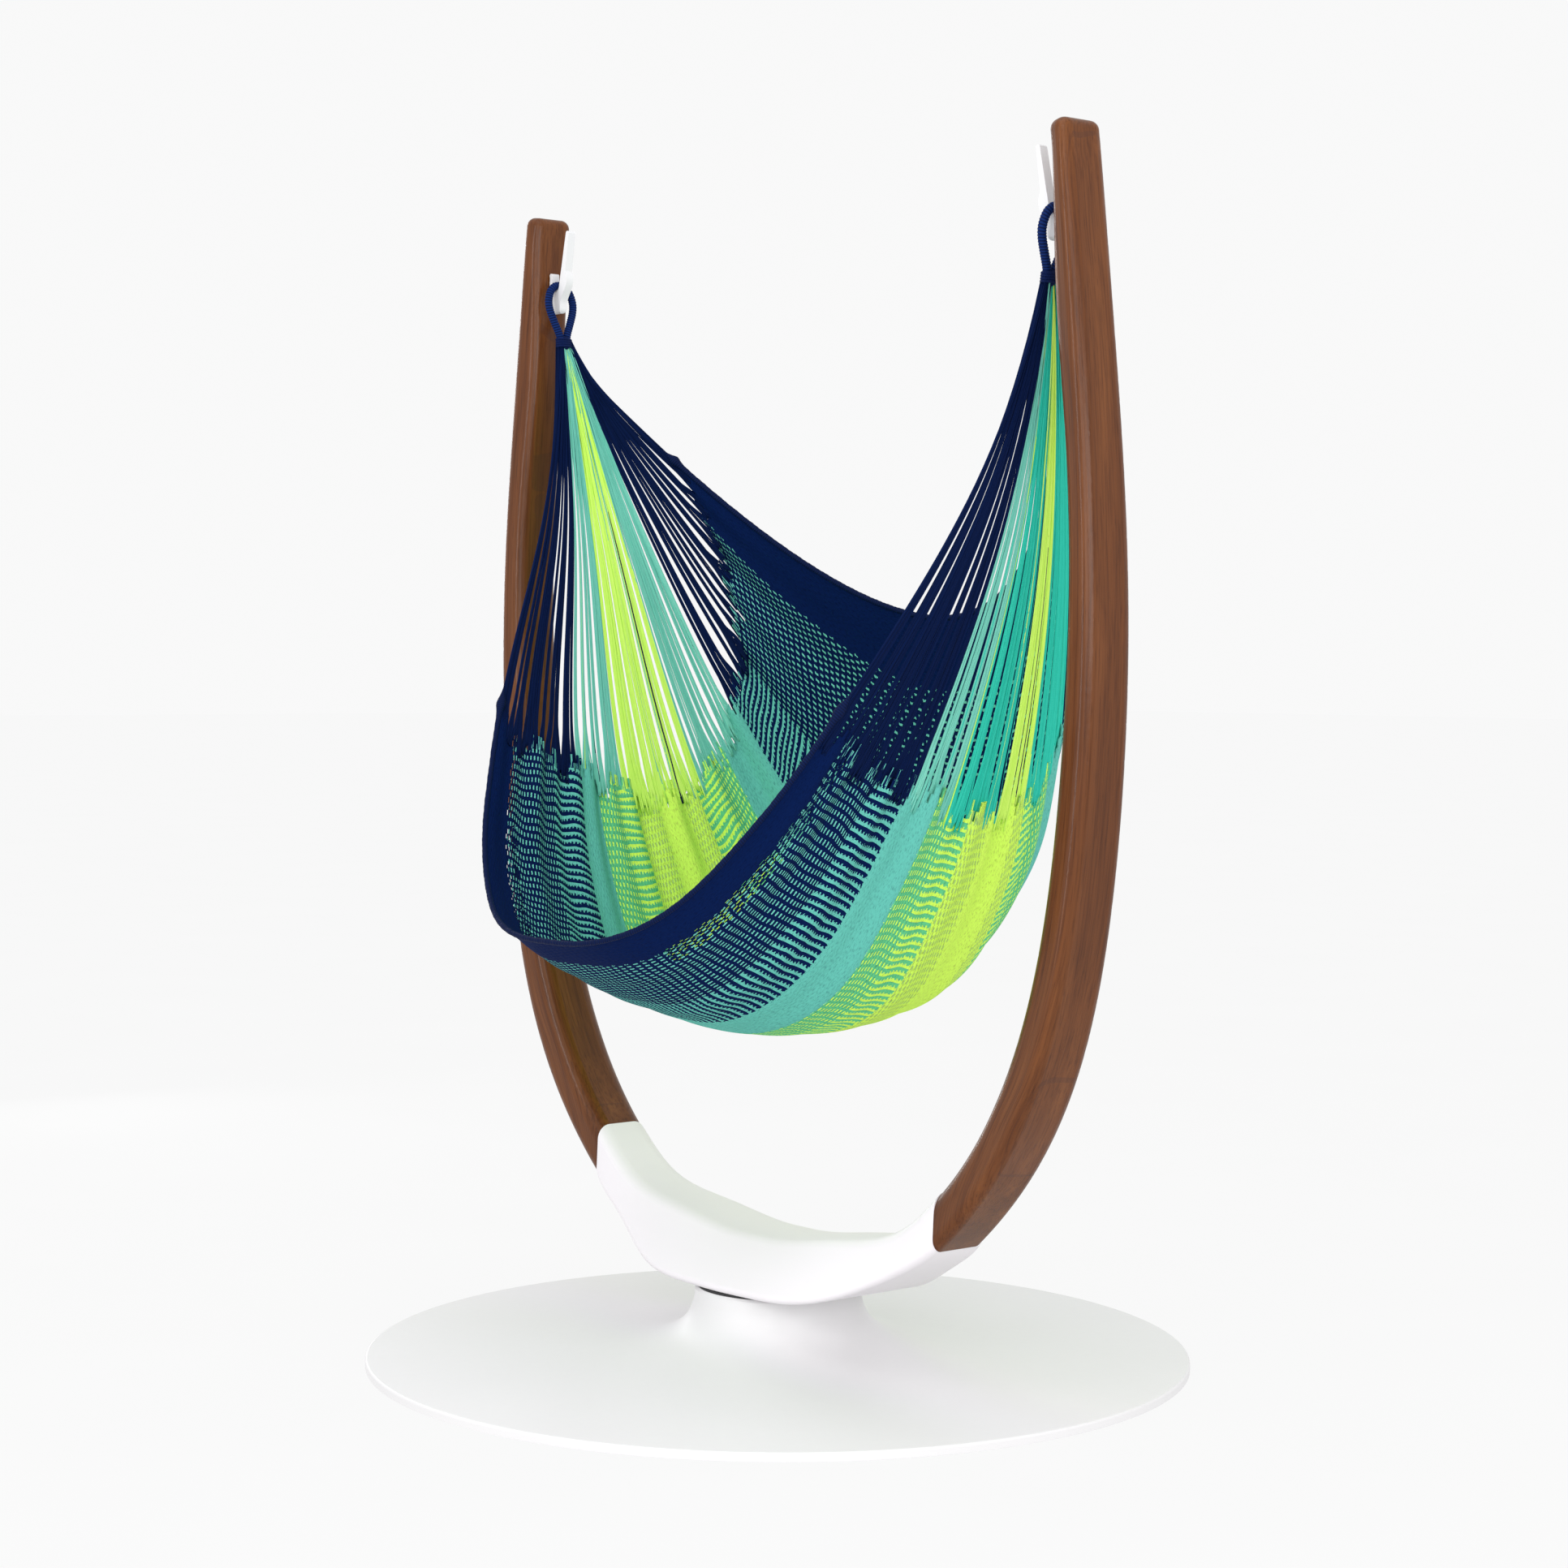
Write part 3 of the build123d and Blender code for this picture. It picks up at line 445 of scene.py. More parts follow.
def weave_material():
    """Woven net: bands along the strings, rows of a second colour across them, and fine ribs."""
    g = Graph("woven_net", 0.85, Specular_IOR_Level=0.04)
    across, along, edge = g.split(g.attribute("weave").outputs["Vector"])[0:3]
    width = g.math("MULTIPLY", across, CLOTH_WIDTH)
    place = g.join(width, along, 0.0)
    drift = g.math("SUBTRACT", g.noise(place, 9.0, 2.0), 0.5)
    jitter = g.math("SUBTRACT", g.noise(place, 260.0, 1.0), 0.5)
    across_here = g.math("ADD", across, g.math("MULTIPLY", jitter, 0.006))
    ground = g.ramp(across_here, [(b[0], b[1]) for b in BANDS], "CONSTANT")
    second = g.ramp(across_here, [(b[0], b[2]) for b in BANDS], "CONSTANT")
    kind = g.ramp(across_here, [(b[0], (b[3], b[3], b[3], 1)) for b in BANDS], "CONSTANT")
    chevron = g.math("MULTIPLY", g.math("PINGPONG", width, CHEVRON_WIDTH), CHEVRON_RISE)
    row = g.math("ADD", g.math("DIVIDE", along, ROW_PITCH), g.math("MULTIPLY", drift, ROW_WANDER))
    row = g.math("ADD", g.math("ADD", row, g.math("MULTIPLY", width, ROW_SLANT)), chevron)
    row_phase = g.math("FRACT", row)
    dashes = g.math("DIVIDE", width, DASH_PITCH)
    stroke = g.math("ADD", dashes, g.math("MULTIPLY", g.math("FLOOR", row), 0.5))
    stroke = g.math("ADD", stroke, g.math("MULTIPLY", jitter, DASH_WANDER))
    stroke_on = g.math("LESS_THAN", g.math("FRACT", stroke), DASH_WIDTH)
    ragged = g.math("ADD", ROW_HEIGHT, g.math("MULTIPLY", stroke_on, ROW_STEP))
    ragged = g.math("ADD", ragged, g.math("MULTIPLY", jitter, ROW_RAG))
    in_row = g.math("LESS_THAN", row_phase, ragged)
    dash = g.math("MULTIPLY", stroke_on, g.math("LESS_THAN", row_phase, DASH_HEIGHT))
    is_dash = g.math("COMPARE", kind, 0.5)
    is_dash.node.inputs[2].default_value = 0.1
    is_row = g.math("GREATER_THAN", kind, 0.75)
    mask = g.math("MAXIMUM", g.math("MULTIPLY", dash, is_dash), g.math("MULTIPLY", in_row, is_row))
    # Near the strings the rows give way to long strokes of both colours.
    wide = g.math("MULTIPLY", width, STROKE_GRAIN[0])
    strokes = g.noise(g.join(wide, g.math("MULTIPLY", along, STROKE_GRAIN[1]), 0.0), 1.0, 1.0)
    tuft = g.math("MULTIPLY", g.math("GREATER_THAN", strokes, 0.53), g.math("GREATER_THAN", kind, 0.25))
    near = g.math("GREATER_THAN", g.math("ADD", edge, g.math("MULTIPLY", drift, 0.9)), 0.5)
    mask = g.mix(near, mask, tuft)
    tint = g.mix(mask, ground, second)
    wide = g.math("MULTIPLY", width, RIB_GRAIN[0])
    ribs = g.noise(g.join(wide, g.math("MULTIPLY", along, RIB_GRAIN[1]), 0.0), 1.0, 2.0)
    shade = g.ramp(ribs, [(0.3, colour(188, 188, 196)), (0.48, (1, 1, 1, 1))])
    tint = g.mix(0.8, tint, shade, "MULTIPLY")
    # Painted shade: in the dash bands, a thin slit at the end of each dash's pitch is darkened towards
    # near-black, for the shade seen through the net's holes.
    holes = g.math("MULTIPLY", g.math("GREATER_THAN", g.math("FRACT", stroke), HOLE_SHADE_FROM), is_dash)
    tint = g.mix(g.math("MULTIPLY", holes, 0.45), tint, PAINTED_HOLE_SHADE)
    g.set("Base Color", tint)
    thread = g.math("PINGPONG", g.math("MULTIPLY", stroke, 2.0), 1.0)
    height = g.math("ADD", g.math("MULTIPLY", ribs, 0.7), g.math("MULTIPLY", thread, 0.4))
    height = g.math("ADD", height, g.math("MULTIPLY", g.math("PINGPONG", row, 0.5), 0.6))
    g.set("Normal", g.bump(height, 0.0014, 0.8))
    return g.material


BED_ROWS = 150
BED_COLUMNS = 310
TUFTS = 62
TUFT_UNEVEN = 0.35
CLOTH_T = 0.0028
# Pleats: for each wave across the cloth its length over two pi, its phase and its share of the depth.
PLEAT_WAVES = [(0.027, 1.3, 0.55), (0.0121, 0.4, 0.4)]
PLEAT_DEPTH = 0.0105
PLEAT_AT_MIDDLE = 0.12
PLEAT_MORE_AT_STRINGS = 0.88
FLAT_RIM = 0.06
SWELL_ALONG = 21.0
SWELL_ACROSS = 9.0
SWELL_DEPTH = 0.0016
# The ragged start of the weave: the least gap between two tufts, how much deeper it may be, how pointed
# the tufts are, and how far in the rows give way to strokes.
GAP_LEAST = 0.016
GAP_MORE = 0.036
TUFT_POINT = 1.3
TUFT_REACH = 0.06
# The open strip near the front edge: where it runs across, how far from the middle it begins, and how
# many of its holes are there.
OPEN_STRIP = (0.050, 0.078)
OPEN_FROM = 0.42
OPEN_CHANCE = 0.75


def tuft_edges():
    """Where each tuft of the weave starts and ends across the cloth, unevenly spaced."""
    steps = 1.0 + TUFT_UNEVEN * (rng.random(TUFTS) - 0.5)
    edges = np.concatenate(([0.0], np.cumsum(steps)))
    return edges / edges[-1]


def pleated(grid, t, across, along):
    """The grid in pleats that deepen towards the strings, with a slow swell and flat rims."""
    width = across * CLOTH_WIDTH
    gathered = PLEAT_AT_MIDDLE + PLEAT_MORE_AT_STRINGS * np.abs(t)[:, None] ** 2
    waves = sum(np.sin(width / length + phase) * part for length, phase, part in PLEAT_WAVES)
    pleats = waves[None, :] * PLEAT_DEPTH * gathered
    hold = np.minimum(1.0, np.minimum(across, 1.0 - across) / FLAT_RIM)[None, :]
    swell = np.sin(along * SWELL_ALONG + width[None, :] * SWELL_ACROSS) * SWELL_DEPTH
    return grid + normals_of(grid) * ((pleats + swell) * hold)[..., None]


def kept_quads(edges, t, across, distance):
    """Which quads of the bed are there: not the gaps between tufts, nor the holes of the open strip."""
    tuft = np.clip(np.searchsorted(edges, across, side="right") - 1, 0, TUFTS - 1)
    inside = (across - edges[tuft]) / (edges[tuft + 1] - edges[tuft])
    depth = {side: GAP_LEAST + GAP_MORE * rng.random(TUFTS) for side in (-1, 1)}
    keep = np.ones((BED_ROWS, BED_COLUMNS), bool)
    middle = (distance[:-1, :-1] + distance[1:, 1:]) / 2
    for side in (-1, 1):
        notch = depth[side][tuft] * np.abs(2 * inside - 1) ** TUFT_POINT
        half = slice(0, BED_ROWS // 2) if side < 0 else slice(BED_ROWS // 2, BED_ROWS)
        keep[half] &= (middle > notch[:-1][None, :])[half]
    column = np.arange(BED_COLUMNS)
    row = np.arange(BED_ROWS)
    strip = (across[:-1] > OPEN_STRIP[0]) & (across[:-1] < OPEN_STRIP[1])
    high = np.abs(t[:-1]) > OPEN_FROM
    holes = (row[:, None] + column[None, :]) % 2 == 0
    lucky = rng.random((BED_ROWS, BED_COLUMNS)) < OPEN_CHANCE
    return keep & ~(holes & lucky & strip[None, :] & high[:, None])


def make_bed(edges, material):
    """The woven bed: a closed thin net, pleated where the strings gather it, with a ragged start."""
    across = np.linspace(0.0, 1.0, BED_COLUMNS + 1)
    t = np.linspace(-1.0, 1.0, BED_ROWS + 1)
    start = eased(WEAVE_START, across)
    share = t[:, None] * start[None, :]
    grid = cloth(share, across[None, :])
    steps = np.linalg.norm(np.diff(grid, axis=0), axis=-1)
    along = np.concatenate((np.zeros((1, BED_COLUMNS + 1)), np.cumsum(steps, axis=0)))
    along -= along[BED_ROWS // 2][None, :]
    distance = along[-1][None, :] - np.abs(along)
    grid = pleated(grid, t, across, along)
    nearness = np.clip(1.0 - distance / TUFT_REACH, 0.0, 1.0)
    weave = np.stack([np.broadcast_to(across[None, :], share.shape), along, nearness], axis=-1)
    index = np.arange((BED_ROWS + 1) * (BED_COLUMNS + 1)).reshape(BED_ROWS + 1, BED_COLUMNS + 1)
    quads = np.stack([index[:-1, :-1], index[1:, :-1], index[1:, 1:], index[:-1, 1:]], axis=-1)
    quads = quads[kept_quads(edges, t, across, distance)]
    used = np.unique(quads)
    renumber = np.full(index.size, -1)
    renumber[used] = np.arange(len(used))
    points = grid.reshape(-1, 3)[used]
    faces = renumber[quads].tolist()
    bed = new_piece("woven_bed_net", points.tolist(), faces, material, "hammock")
    add_attribute(bed, "weave", weave.reshape(-1, 3)[used])
    solid = bed.modifiers.new("thickness", "SOLIDIFY")
    solid.thickness = CLOTH_T
    solid.offset = 0.0
    apply_modifiers(bed)
    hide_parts("woven_bed", "front_band")


def apply_modifiers(piece):
    """Turns a piece's modifiers into its mesh."""
    graph = bpy.context.evaluated_depsgraph_get()
    graph.update()
    mesh = bpy.data.meshes.new_from_object(piece.evaluated_get(graph), depsgraph=graph)
    piece.modifiers.clear()
    piece.data = mesh


# ---------------------------------------------------------------- tubes
# A direction that no cord starts along.
ASKEW = (0.31, 0.83, 0.46)


def frames_along(path):
    """Two unit vectors square to a path at each of its points, without twist."""
    tangent = np.gradient(path, axis=0)
    tangent /= np.linalg.norm(tangent, axis=-1, keepdims=True)
    side = np.cross(tangent[0], ASKEW)
    side /= np.linalg.norm(side)
    sides = [side]
    for k in range(1, len(path)):
        side = sides[-1] - tangent[k] * np.dot(sides[-1], tangent[k])
        sides.append(side / np.linalg.norm(side))
    sides = np.array(sides)
    return sides, np.cross(tangent, sides)


def tube(path, radius, around):
    """Points and quads of a tube. radius is one number, one for each point, or a grid."""
    path = np.asarray(path, float)
    side, up = frames_along(path)
    turn = np.linspace(0, 2 * math.pi, around, endpoint=False)
    radius = np.asarray(radius, float)
    if radius.ndim < 2:
        radius = np.broadcast_to(radius, (len(path),))[:, None] * np.ones((1, around))
    ring = np.cos(turn)[None, :, None] * side[:, None, :] + np.sin(turn)[None, :, None] * up[:, None, :]
    points = path[:, None, :] + ring * radius[..., None]
    n = len(path)
    base = np.arange(n * around).reshape(n, around)
    nxt = np.roll(base, -1, axis=1)
    quads = np.stack([base[:-1], nxt[:-1], nxt[1:], base[1:]], axis=-1).reshape(-1, 4)
    caps = [list(base[0][::-1]), list(base[-1])]
    lengths = np.concatenate(([0], np.cumsum(np.linalg.norm(np.diff(path, axis=0), axis=1))))
    about = np.stack(np.broadcast_arrays(turn[None, :] / (2 * math.pi), lengths[:, None]), axis=-1)
    return points.reshape(-1, 3), quads.tolist(), caps, about.reshape(-1, 2)


# ---------------------------------------------------------------- fan strings
STRING_R = 0.0016
STRINGS_EACH = 8
EDGE_STRINGS_MORE = 10
STRING_STEPS = 32
STRING_SIDES = 5
TWISTS_PER_METRE = 330.0
# A string leaves the weave along the surface and is drawn into its bundle over a first share of its
# way. Over its last share it leaves the surface for the foot of the rope loop.
CROWDING = 1.15
SURFACE_END = 0.9985
DRAWN_FROM = 0.02
DRAWN_OVER = 0.16
PULLED_FROM = 0.62
PULLED_OVER = 0.38
PULLED_POWER = 2.2
# What differs from string to string: lengths in metres, the rest in shares.
START_IN = (0.012, 0.035)
SAG = (-0.002, 0.005)
END_ALONG = (-0.007, 0.007)
END_ACROSS = (-0.003, 0.003)
END_UP = (-0.006, 0.004)
END_SPREAD = 0.019
THICKNESS = (0.8, 1.15)
THINNING = 0.45
FILL_CHANGE = (0.75, 1.2)
TUFT_USED = 0.9
LEAN = 0.42
JOSTLE = 0.09
STRAY_CHANCE = 0.1
STRAY = 0.6
OTHER_COLOUR_CHANCE = 0.05
# How much of its tuft's width a bundle keeps, for each colour.
BUNDLE_FILL = {"navy": 0.46, "aqua": 0.52, "teal": 0.82, "lime": 0.8}
FAN_COLOURS = {
    "navy": (NAVY_DEEP, NAVY),
    "aqua": (colour(84, 176, 158), colour(136, 212, 194)),
    "teal": (colour(22, 176, 154), colour(64, 208, 184)),
    "lime": (colour(188, 238, 84), colour(222, 254, 128)),
}
# Where each colour of the fans ends, from the front edge to the back.
FAN_ENDS = {
    -1: [(0.245, "navy"), (0.37, "aqua"), (0.565, "lime"), (0.72, "aqua"), (1.01, "navy")],
    1: [(0.265, "navy"), (0.35, "aqua"), (0.47, "teal"), (0.56, "lime"), (0.72, "teal"), (1.01, "navy")],
}


def string_material(name, dark, light):
    """Twisted cotton string: a fine helical twist with painted shade along its turns, and strings of
    slightly different tone.
    """
    g = Graph(name, 0.8, Specular_IOR_Level=0.06)
    turn, along, tone = g.split(g.attribute("string").outputs["Vector"])[0:3]
    twist = g.math("FRACT", g.math("ADD", g.math("MULTIPLY", along, TWISTS_PER_METRE), turn))
    ply = g.math("PINGPONG", g.math("MULTIPLY", twist, 2.0), 1.0)
    blotch = g.noise(g.join(tone, g.math("MULTIPLY", along, 9.0), 0.0), 6.0, 3.0)
    lightness = g.math("ADD", g.math("MULTIPLY", tone, 0.55), g.math("MULTIPLY", blotch, 0.5))
    tint = g.mix(lightness, dark, light)
    # Painted shade: the string is darkened along each turn of its twist.
    tint = g.mix(g.math("MULTIPLY", ply, 0.22), tint, dark)
    g.set("Base Color", tint)
    g.set("Normal", g.bump(ply, 0.0004, 0.6))
    return g.material


def bundle_top(side):
    """Where the strings meet under the rope loop."""
    down = (GATHER - LOOP_TOP).normalized()
    top = LOOP_TOP + down * STRINGS_TOP
    return np.array((side * top.x, top.y, top.z))


def string_path(side, across, shift, start_in, sag, end):
    """One string from inside the weave to the rope loop, drawn into its bundle as it leaves the weave."""
    start = float(eased(WEAVE_START, np.array(across)))
    t = np.linspace(0.0, 1.0, STRING_STEPS) ** CROWDING
    share = start - start_in + (SURFACE_END - start + start_in) * t
    drawn = np.clip((t - DRAWN_FROM) / DRAWN_OVER, 0.0, 1.0)
    drawn = drawn * drawn * (3 - 2 * drawn)
    path = cloth(share, np.clip(across + shift * drawn, 0.0, 1.0))
    path[:, 0] *= side
    path[:, 2] -= np.sin(math.pi * t) * sag
    pull = np.clip((t - PULLED_FROM) / PULLED_OVER, 0.0, 1.0) ** PULLED_POWER
    meet = np.array((side * GATHER.x, GATHER.y, GATHER.z))
    return path + pull[:, None] * (end - meet)[None, :]


def make_string(side, across, shift, colour_name, top):
    """One string: its colour, points, faces and the vectors that its material reads."""
    sag = random.uniform(*SAG)
    end = top + np.array(
        (
            random.uniform(*END_ALONG),
            (across - 0.5) * END_SPREAD + random.uniform(*END_ACROSS),
            random.uniform(*END_UP),
        )
    )
    if colour_name != "navy" and random.random() < OTHER_COLOUR_CHANCE:
        colour_name = random.choice([c for _, c in FAN_ENDS[side]])
    path = string_path(side, across, shift, random.uniform(*START_IN), sag, end)
    thin = 1.0 - THINNING * np.linspace(0.0, 1.0, STRING_STEPS) ** 3
    radius = STRING_R * random.uniform(*THICKNESS) * thin
    points, quads, caps, about = tube(path, radius, STRING_SIDES)
    tone = np.full((len(points), 1), random.random())
    return colour_name, points, quads + caps, np.concatenate([about, tone], axis=1)


def make_bundle(side, first, last, is_edge, top):
    """The strings of the tuft between two places across the cloth, one after another."""
    middle = (first + last) / 2
    span = last - first
    colour_name = next(c for end, c in FAN_ENDS[side] if middle < end)
    count = STRINGS_EACH + (EDGE_STRINGS_MORE if is_edge else random.randint(-1, 1))
    fill = BUNDLE_FILL[colour_name] * random.uniform(*FILL_CHANGE)
    lean = span * random.uniform(-LEAN, LEAN)
    for j in range(count):
        at = (j + 0.5) / count - 0.5
        across = middle + at * span * TUFT_USED
        shift = -at * span * (1 - fill) + lean + span * random.uniform(-JOSTLE, JOSTLE)
        if random.random() < STRAY_CHANCE:
            shift += span * random.uniform(-STRAY, STRAY)
        yield make_string(side, across, shift, colour_name, top)


def make_fans(edges, materials):
    """The loose strings at each end, in bundles, one piece for each colour."""
    for side, name in ((-1, "left"), (1, "right")):
        parts = {key: ([], [], []) for key in FAN_COLOURS}
        top = bundle_top(side)
        for k in range(TUFTS):
            is_edge = k in (0, TUFTS - 1)
            for tint, points, faces, about in make_bundle(side, edges[k], edges[k + 1], is_edge, top):
                all_points, all_faces, all_about = parts[tint]
                base = sum(len(p) for p in all_points)
                all_points.append(points)
                all_faces.extend([[v + base for v in face] for face in faces])
                all_about.append(about)
        for key, (points, faces, about) in parts.items():
            if points:
                points = np.concatenate(points).tolist()
                piece = new_piece(f"fan_{name}_{key}", points, faces, materials[key], "hammock")
                add_attribute(piece, "string", np.concatenate(about))
                if key == "navy":
                    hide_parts("fan_" + name, "gather_" + name)


# ---------------------------------------------------------------- edge rolls, whippings and loops
# How quickly a cord's fibres change, round it and along it.
FIBRE_GRAIN = (40.0, 900.0)


def cord_material(name, pitch, dark, light):
    """Wound or braided navy cord: close turns around the rope, with a painted highlight on their crests
    and painted shade in the grooves.
    """
    g = Graph(name, 0.6, Specular_IOR_Level=0.07)
    turn, along, tone = g.split(g.attribute("string").outputs["Vector"])[0:3]
    wind = g.math("FRACT", g.math("ADD", g.math("DIVIDE", along, pitch), turn))
    ridge = g.math("PINGPONG", g.math("MULTIPLY", wind, 2.0), 1.0)
    round_it = g.math("MULTIPLY", turn, FIBRE_GRAIN[0])
    fibre = g.noise(g.join(round_it, g.math("MULTIPLY", along, FIBRE_GRAIN[1]), tone), 1.0, 3.0)
    # Painted highlight and painted shade: each turn's crest takes the light colour and its groove the
    # dark one.
    tint = g.mix(ridge, dark, light)
    tint = g.mix(g.math("MULTIPLY", fibre, 0.35), tint, dark)
    g.set("Base Color", tint)
    g.set("Normal", g.bump(g.math("ADD", ridge, g.math("MULTIPLY", fibre, 0.3)), 0.0007, 0.7))
    return g.material


def cord_piece(name, path, radius, around, material):
    """A round cord as a piece of its own."""
    points, quads, caps, about = tube(path, radius, around)
    piece = new_piece(name, points.tolist(), quads + caps, material, "hammock")
    tone = np.full((len(points), 1), 0.5)
    add_attribute(piece, "string", np.concatenate([about, tone], axis=1))
    return piece


# Each rolled edge: its name, its place across the cloth and its radius.
EDGE_ROLLS = (("front_edge_roll", 0.0, 0.0045), ("back_edge_roll", 1.0, 0.005))
ROLL_STEPS = 420
ROLL_SIDES = 12
ROLL_PAST_WEAVE = 0.03
ROLL_TAPER = 0.03
KNOT_SIZE = 0.9
KNOT_PLACE = 0.965
KNOT_LENGTH = 0.012
# Two waves of lumps along a roll: how high, and how far each step turns them.
LUMPS = ((0.05, 1.9), (0.04, 0.61))


def make_edge_rolls(material):
    """The rolled edge along the front and the back of the weave."""
    for name, across, radius in EDGE_ROLLS:
        start = float(eased(WEAVE_START, np.array(across)))
        share = np.linspace(-start - ROLL_PAST_WEAVE, start + ROLL_PAST_WEAVE, ROLL_STEPS)
        path = cloth(share, across)
        reach = np.abs(np.linspace(-1, 1, ROLL_STEPS))
        taper = np.clip((1 - reach) / ROLL_TAPER, 0.3, 1.0)
        size = 1.0 + KNOT_SIZE * np.exp(-(((reach - KNOT_PLACE) / KNOT_LENGTH) ** 2))
        for height, turn in LUMPS:
            size = size + height * np.sin(np.arange(ROLL_STEPS) * turn)
        cord_piece(name, path, radius * taper * size, ROLL_SIDES, material)


# The loop's outline in millimetres, across and down from the top of its eye. It hangs from the hook and
# its two sides meet in a V.
LOOP_OUTLINE = [
    (6.3, 104.0),
    (9.0, 92.0),
    (17.0, 72.0),
    (25.0, 50.0),
    (27.0, 32.0),
    (21.5, 13.5),
    (11.5, 3.0),
    (0.0, 0.0),
]
LOOP_STEPS = 560
ROPE_R = 0.0073
ROPE_SIDES = 24
BRAID_PITCH = 0.0046
BRAID_DEPTH = 0.0009
# The whipping: close turns of cord, in an oval round a core.
WHIP_TURNS = 4
WHIP_PITCH = 0.0042
WHIP_STEPS_PER_TURN = 30
WHIP_SIDES = 10
WHIP_ABOVE = 0.006
WHIP_CORD_R = 0.0026
WHIP_HALF_WIDTH = 0.0142
WHIP_HALF_DEPTH = 0.0098
CORE_R = 0.0106
CORE_TAPER = 0.003
CORE_STEPS = 24
CORE_SIDES = 18


def loop_route():
    """The rope's line in the loop's own plane: (across, down) from the top of the eye."""
    half = LOOP_OUTLINE + [(-x, y) for x, y in reversed(LOOP_OUTLINE[:-1])]
    t = np.linspace(0.0, 1.0, 300)
    xs = eased([x for x, _ in half], t)
    ys = eased([y for _, y in half], t)
    return np.stack([xs, ys], axis=-1) / 1000.0


def make_loop(side, name, rope, binding):
    """The rope loop over the hook, and the whipping that binds it to the strings."""
    down = (GATHER - LOOP_TOP).normalized()
    route = np.array([LOOP_TOP + down * y + Vector((0, 1, 0)) * x for x, y in loop_route()])
    route[:, 0] *= side
    lengths = np.concatenate(([0], np.cumsum(np.linalg.norm(np.diff(route, axis=0), axis=1))))
    fine = np.linspace(0, lengths[-1], LOOP_STEPS)
    path = np.stack([np.interp(fine, lengths, route[:, k]) for k in range(3)], axis=-1)
    turn = np.linspace(0, 2 * math.pi, ROPE_SIDES, endpoint=False)
    wind = np.abs(np.sin(math.pi * fine[:, None] / BRAID_PITCH + turn[None, :] / 2))
    radius = ROPE_R - BRAID_DEPTH + BRAID_DEPTH * wind
    loop = cord_piece("rope_loop_" + name, path, radius, ROPE_SIDES, rope)
    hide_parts("loop_" + name)
    # The whipping: close turns of cord round the foot of the loop, where the strings begin.
    begin = np.array(LOOP_TOP + down * (STRINGS_TOP - WHIP_ABOVE))
    length = WHIP_TURNS * WHIP_PITCH
    t = np.linspace(0, 1, WHIP_TURNS * WHIP_STEPS_PER_TURN)
    spin = 2 * math.pi * WHIP_TURNS * t
    out = np.array(down.cross(Vector((0, 1, 0))))
    centre = begin[None, :] + np.array(down)[None, :] * (t * length)[:, None]
    coil = centre + np.outer(np.cos(spin) * WHIP_HALF_WIDTH, (0, 1, 0))
    coil = coil + np.outer(np.sin(spin) * WHIP_HALF_DEPTH, out)
    coil[:, 0] *= side
    whip = cord_piece("whipping_coil_" + name, coil, WHIP_CORD_R, WHIP_SIDES, binding)
    core_t = np.linspace(-0.2, 1.3, CORE_STEPS)
    core_centre = begin[None, :] + np.array(down)[None, :] * (core_t * length)[:, None]
    core_centre[:, 0] *= side
    core_r = CORE_R - CORE_TAPER * np.abs(core_t / 0.75 - 0.73) ** 2
    cord_piece("whipping_core_" + name, core_centre, core_r, CORE_SIDES, binding)
    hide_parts("whipping_" + name)


# ---------------------------------------------------------------- stage and light
BACKGROUND_LIGHT = 0.945
FLOOR_LIGHT = 0.885
FLOOR_HALF = 60.0
# Each light: its name, its place, what it faces, its size and its power in watts.
LIGHTS = [
    ("top", (0.9, -1.3, 4.3), (0.0, 0.0, 0.8), (3.0, 3.0), 26.0),
    ("fill", (3.3, -4.1, 2.2), (0.0, 0.0, 1.0), (2.6, 2.6), 52.0),
    ("right", (3.7, -0.9, 1.7), (0.0, 0.0, 0.35), (2.4, 1.4), 42.0),
    ("strip", (-0.4, -4.4, 1.6), (0.4, 0.0, 1.2), (0.14, 3.0), 38.0),
    ("edge", (-3.4, 0.4, 1.7), (0.0, 0.0, 1.2), (0.2, 2.8), 18.0),
]


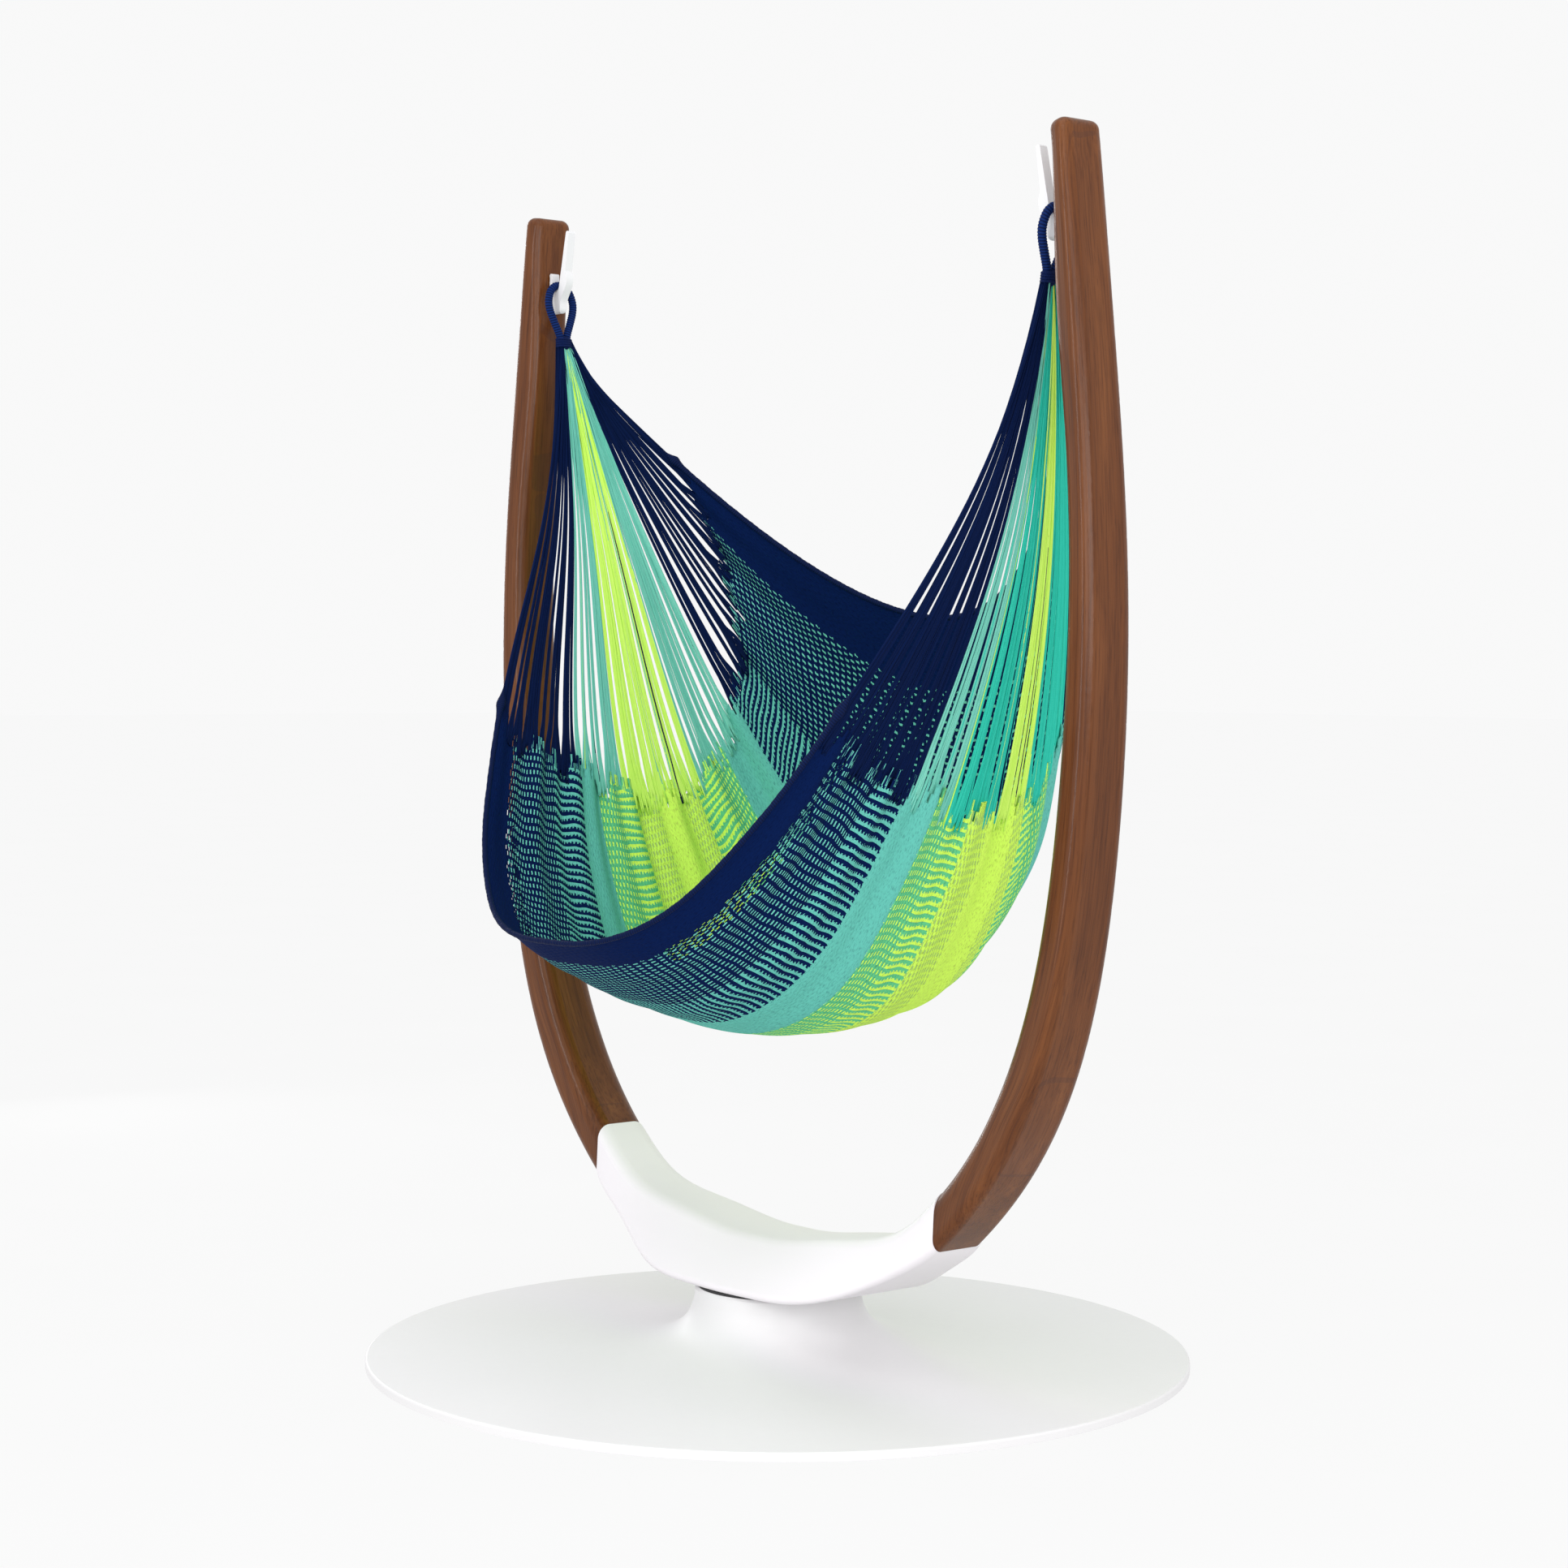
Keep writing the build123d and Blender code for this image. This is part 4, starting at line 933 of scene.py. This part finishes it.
def make_stage():
    """A pale floor that meets the pale background, and soft light."""
    scene = bpy.context.scene
    scene.view_settings.view_transform = "Standard"
    world = bpy.data.worlds.new("studio")
    world.use_nodes = True
    background = world.node_tree.nodes["Background"]
    background.inputs[0].default_value = (1.0, 1.0, 1.0, 1.0)
    background.inputs[1].default_value = BACKGROUND_LIGHT
    scene.world = world
    glow = {"Emission_Color": (1, 1, 1, 1), "Emission_Strength": FLOOR_LIGHT}
    g = Graph("pale_floor", 0.9, **glow, Specular_IOR_Level=0.0)
    mottle = g.noise(g.place(), 2.0, 2.0)
    g.set("Base Color", g.mix(mottle, (0.05, 0.05, 0.05, 1), (0.06, 0.06, 0.06, 1)))
    mesh = bpy.data.meshes.new("floor")
    half = FLOOR_HALF
    corners = [(-half, -half, 0), (half, -half, 0), (half, half, 0), (-half, half, 0)]
    mesh.from_pydata(corners, [], [(0, 1, 2, 3)])
    mesh.materials.append(g.material)
    floor = bpy.data.objects.new("floor", mesh)
    scene.collection.objects.link(floor)
    floor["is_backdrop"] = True
    for light in LIGHTS:
        add_light(*light)


def add_light(name, place, target, size, power):
    """A soft box that faces a point."""
    data = bpy.data.lights.new(name, "AREA")
    data.shape = "RECTANGLE"
    data.size, data.size_y = size
    data.energy = power
    light = bpy.data.objects.new(name, data)
    bpy.context.scene.collection.objects.link(light)
    light.location = place
    light.rotation_euler = (Vector(target) - Vector(place)).to_track_quat("-Z", "Y").to_euler()


# ---------------------------------------------------------------- all of it
make_camera()
dress_frame()
edges = tuft_edges()
make_bed(edges, weave_material())
make_fans(edges, {key: string_material("string_" + key, *tones) for key, tones in FAN_COLOURS.items()})
# For each cord, the light colour is the painted highlight on the crests of its turns. The dark one is the
# painted shade in the grooves and also the tone of its darker fibres.
rope = cord_material("navy_rope", BRAID_PITCH, colour(4, 14, 50), colour(18, 48, 112))
binding = cord_material("navy_binding", 0.0016, colour(4, 14, 48), colour(14, 36, 90))
make_edge_rolls(cord_material("navy_edge", 0.0042, colour(3, 13, 42), colour(6, 27, 74)))
make_loop(-1, "left", rope, binding)
make_loop(1, "right", rope, binding)
make_stage()

boxes = {"cad": cad_box, "visual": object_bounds()}
{key: [list(map(float, corner)) for corner in box] for key, box in boxes.items()}
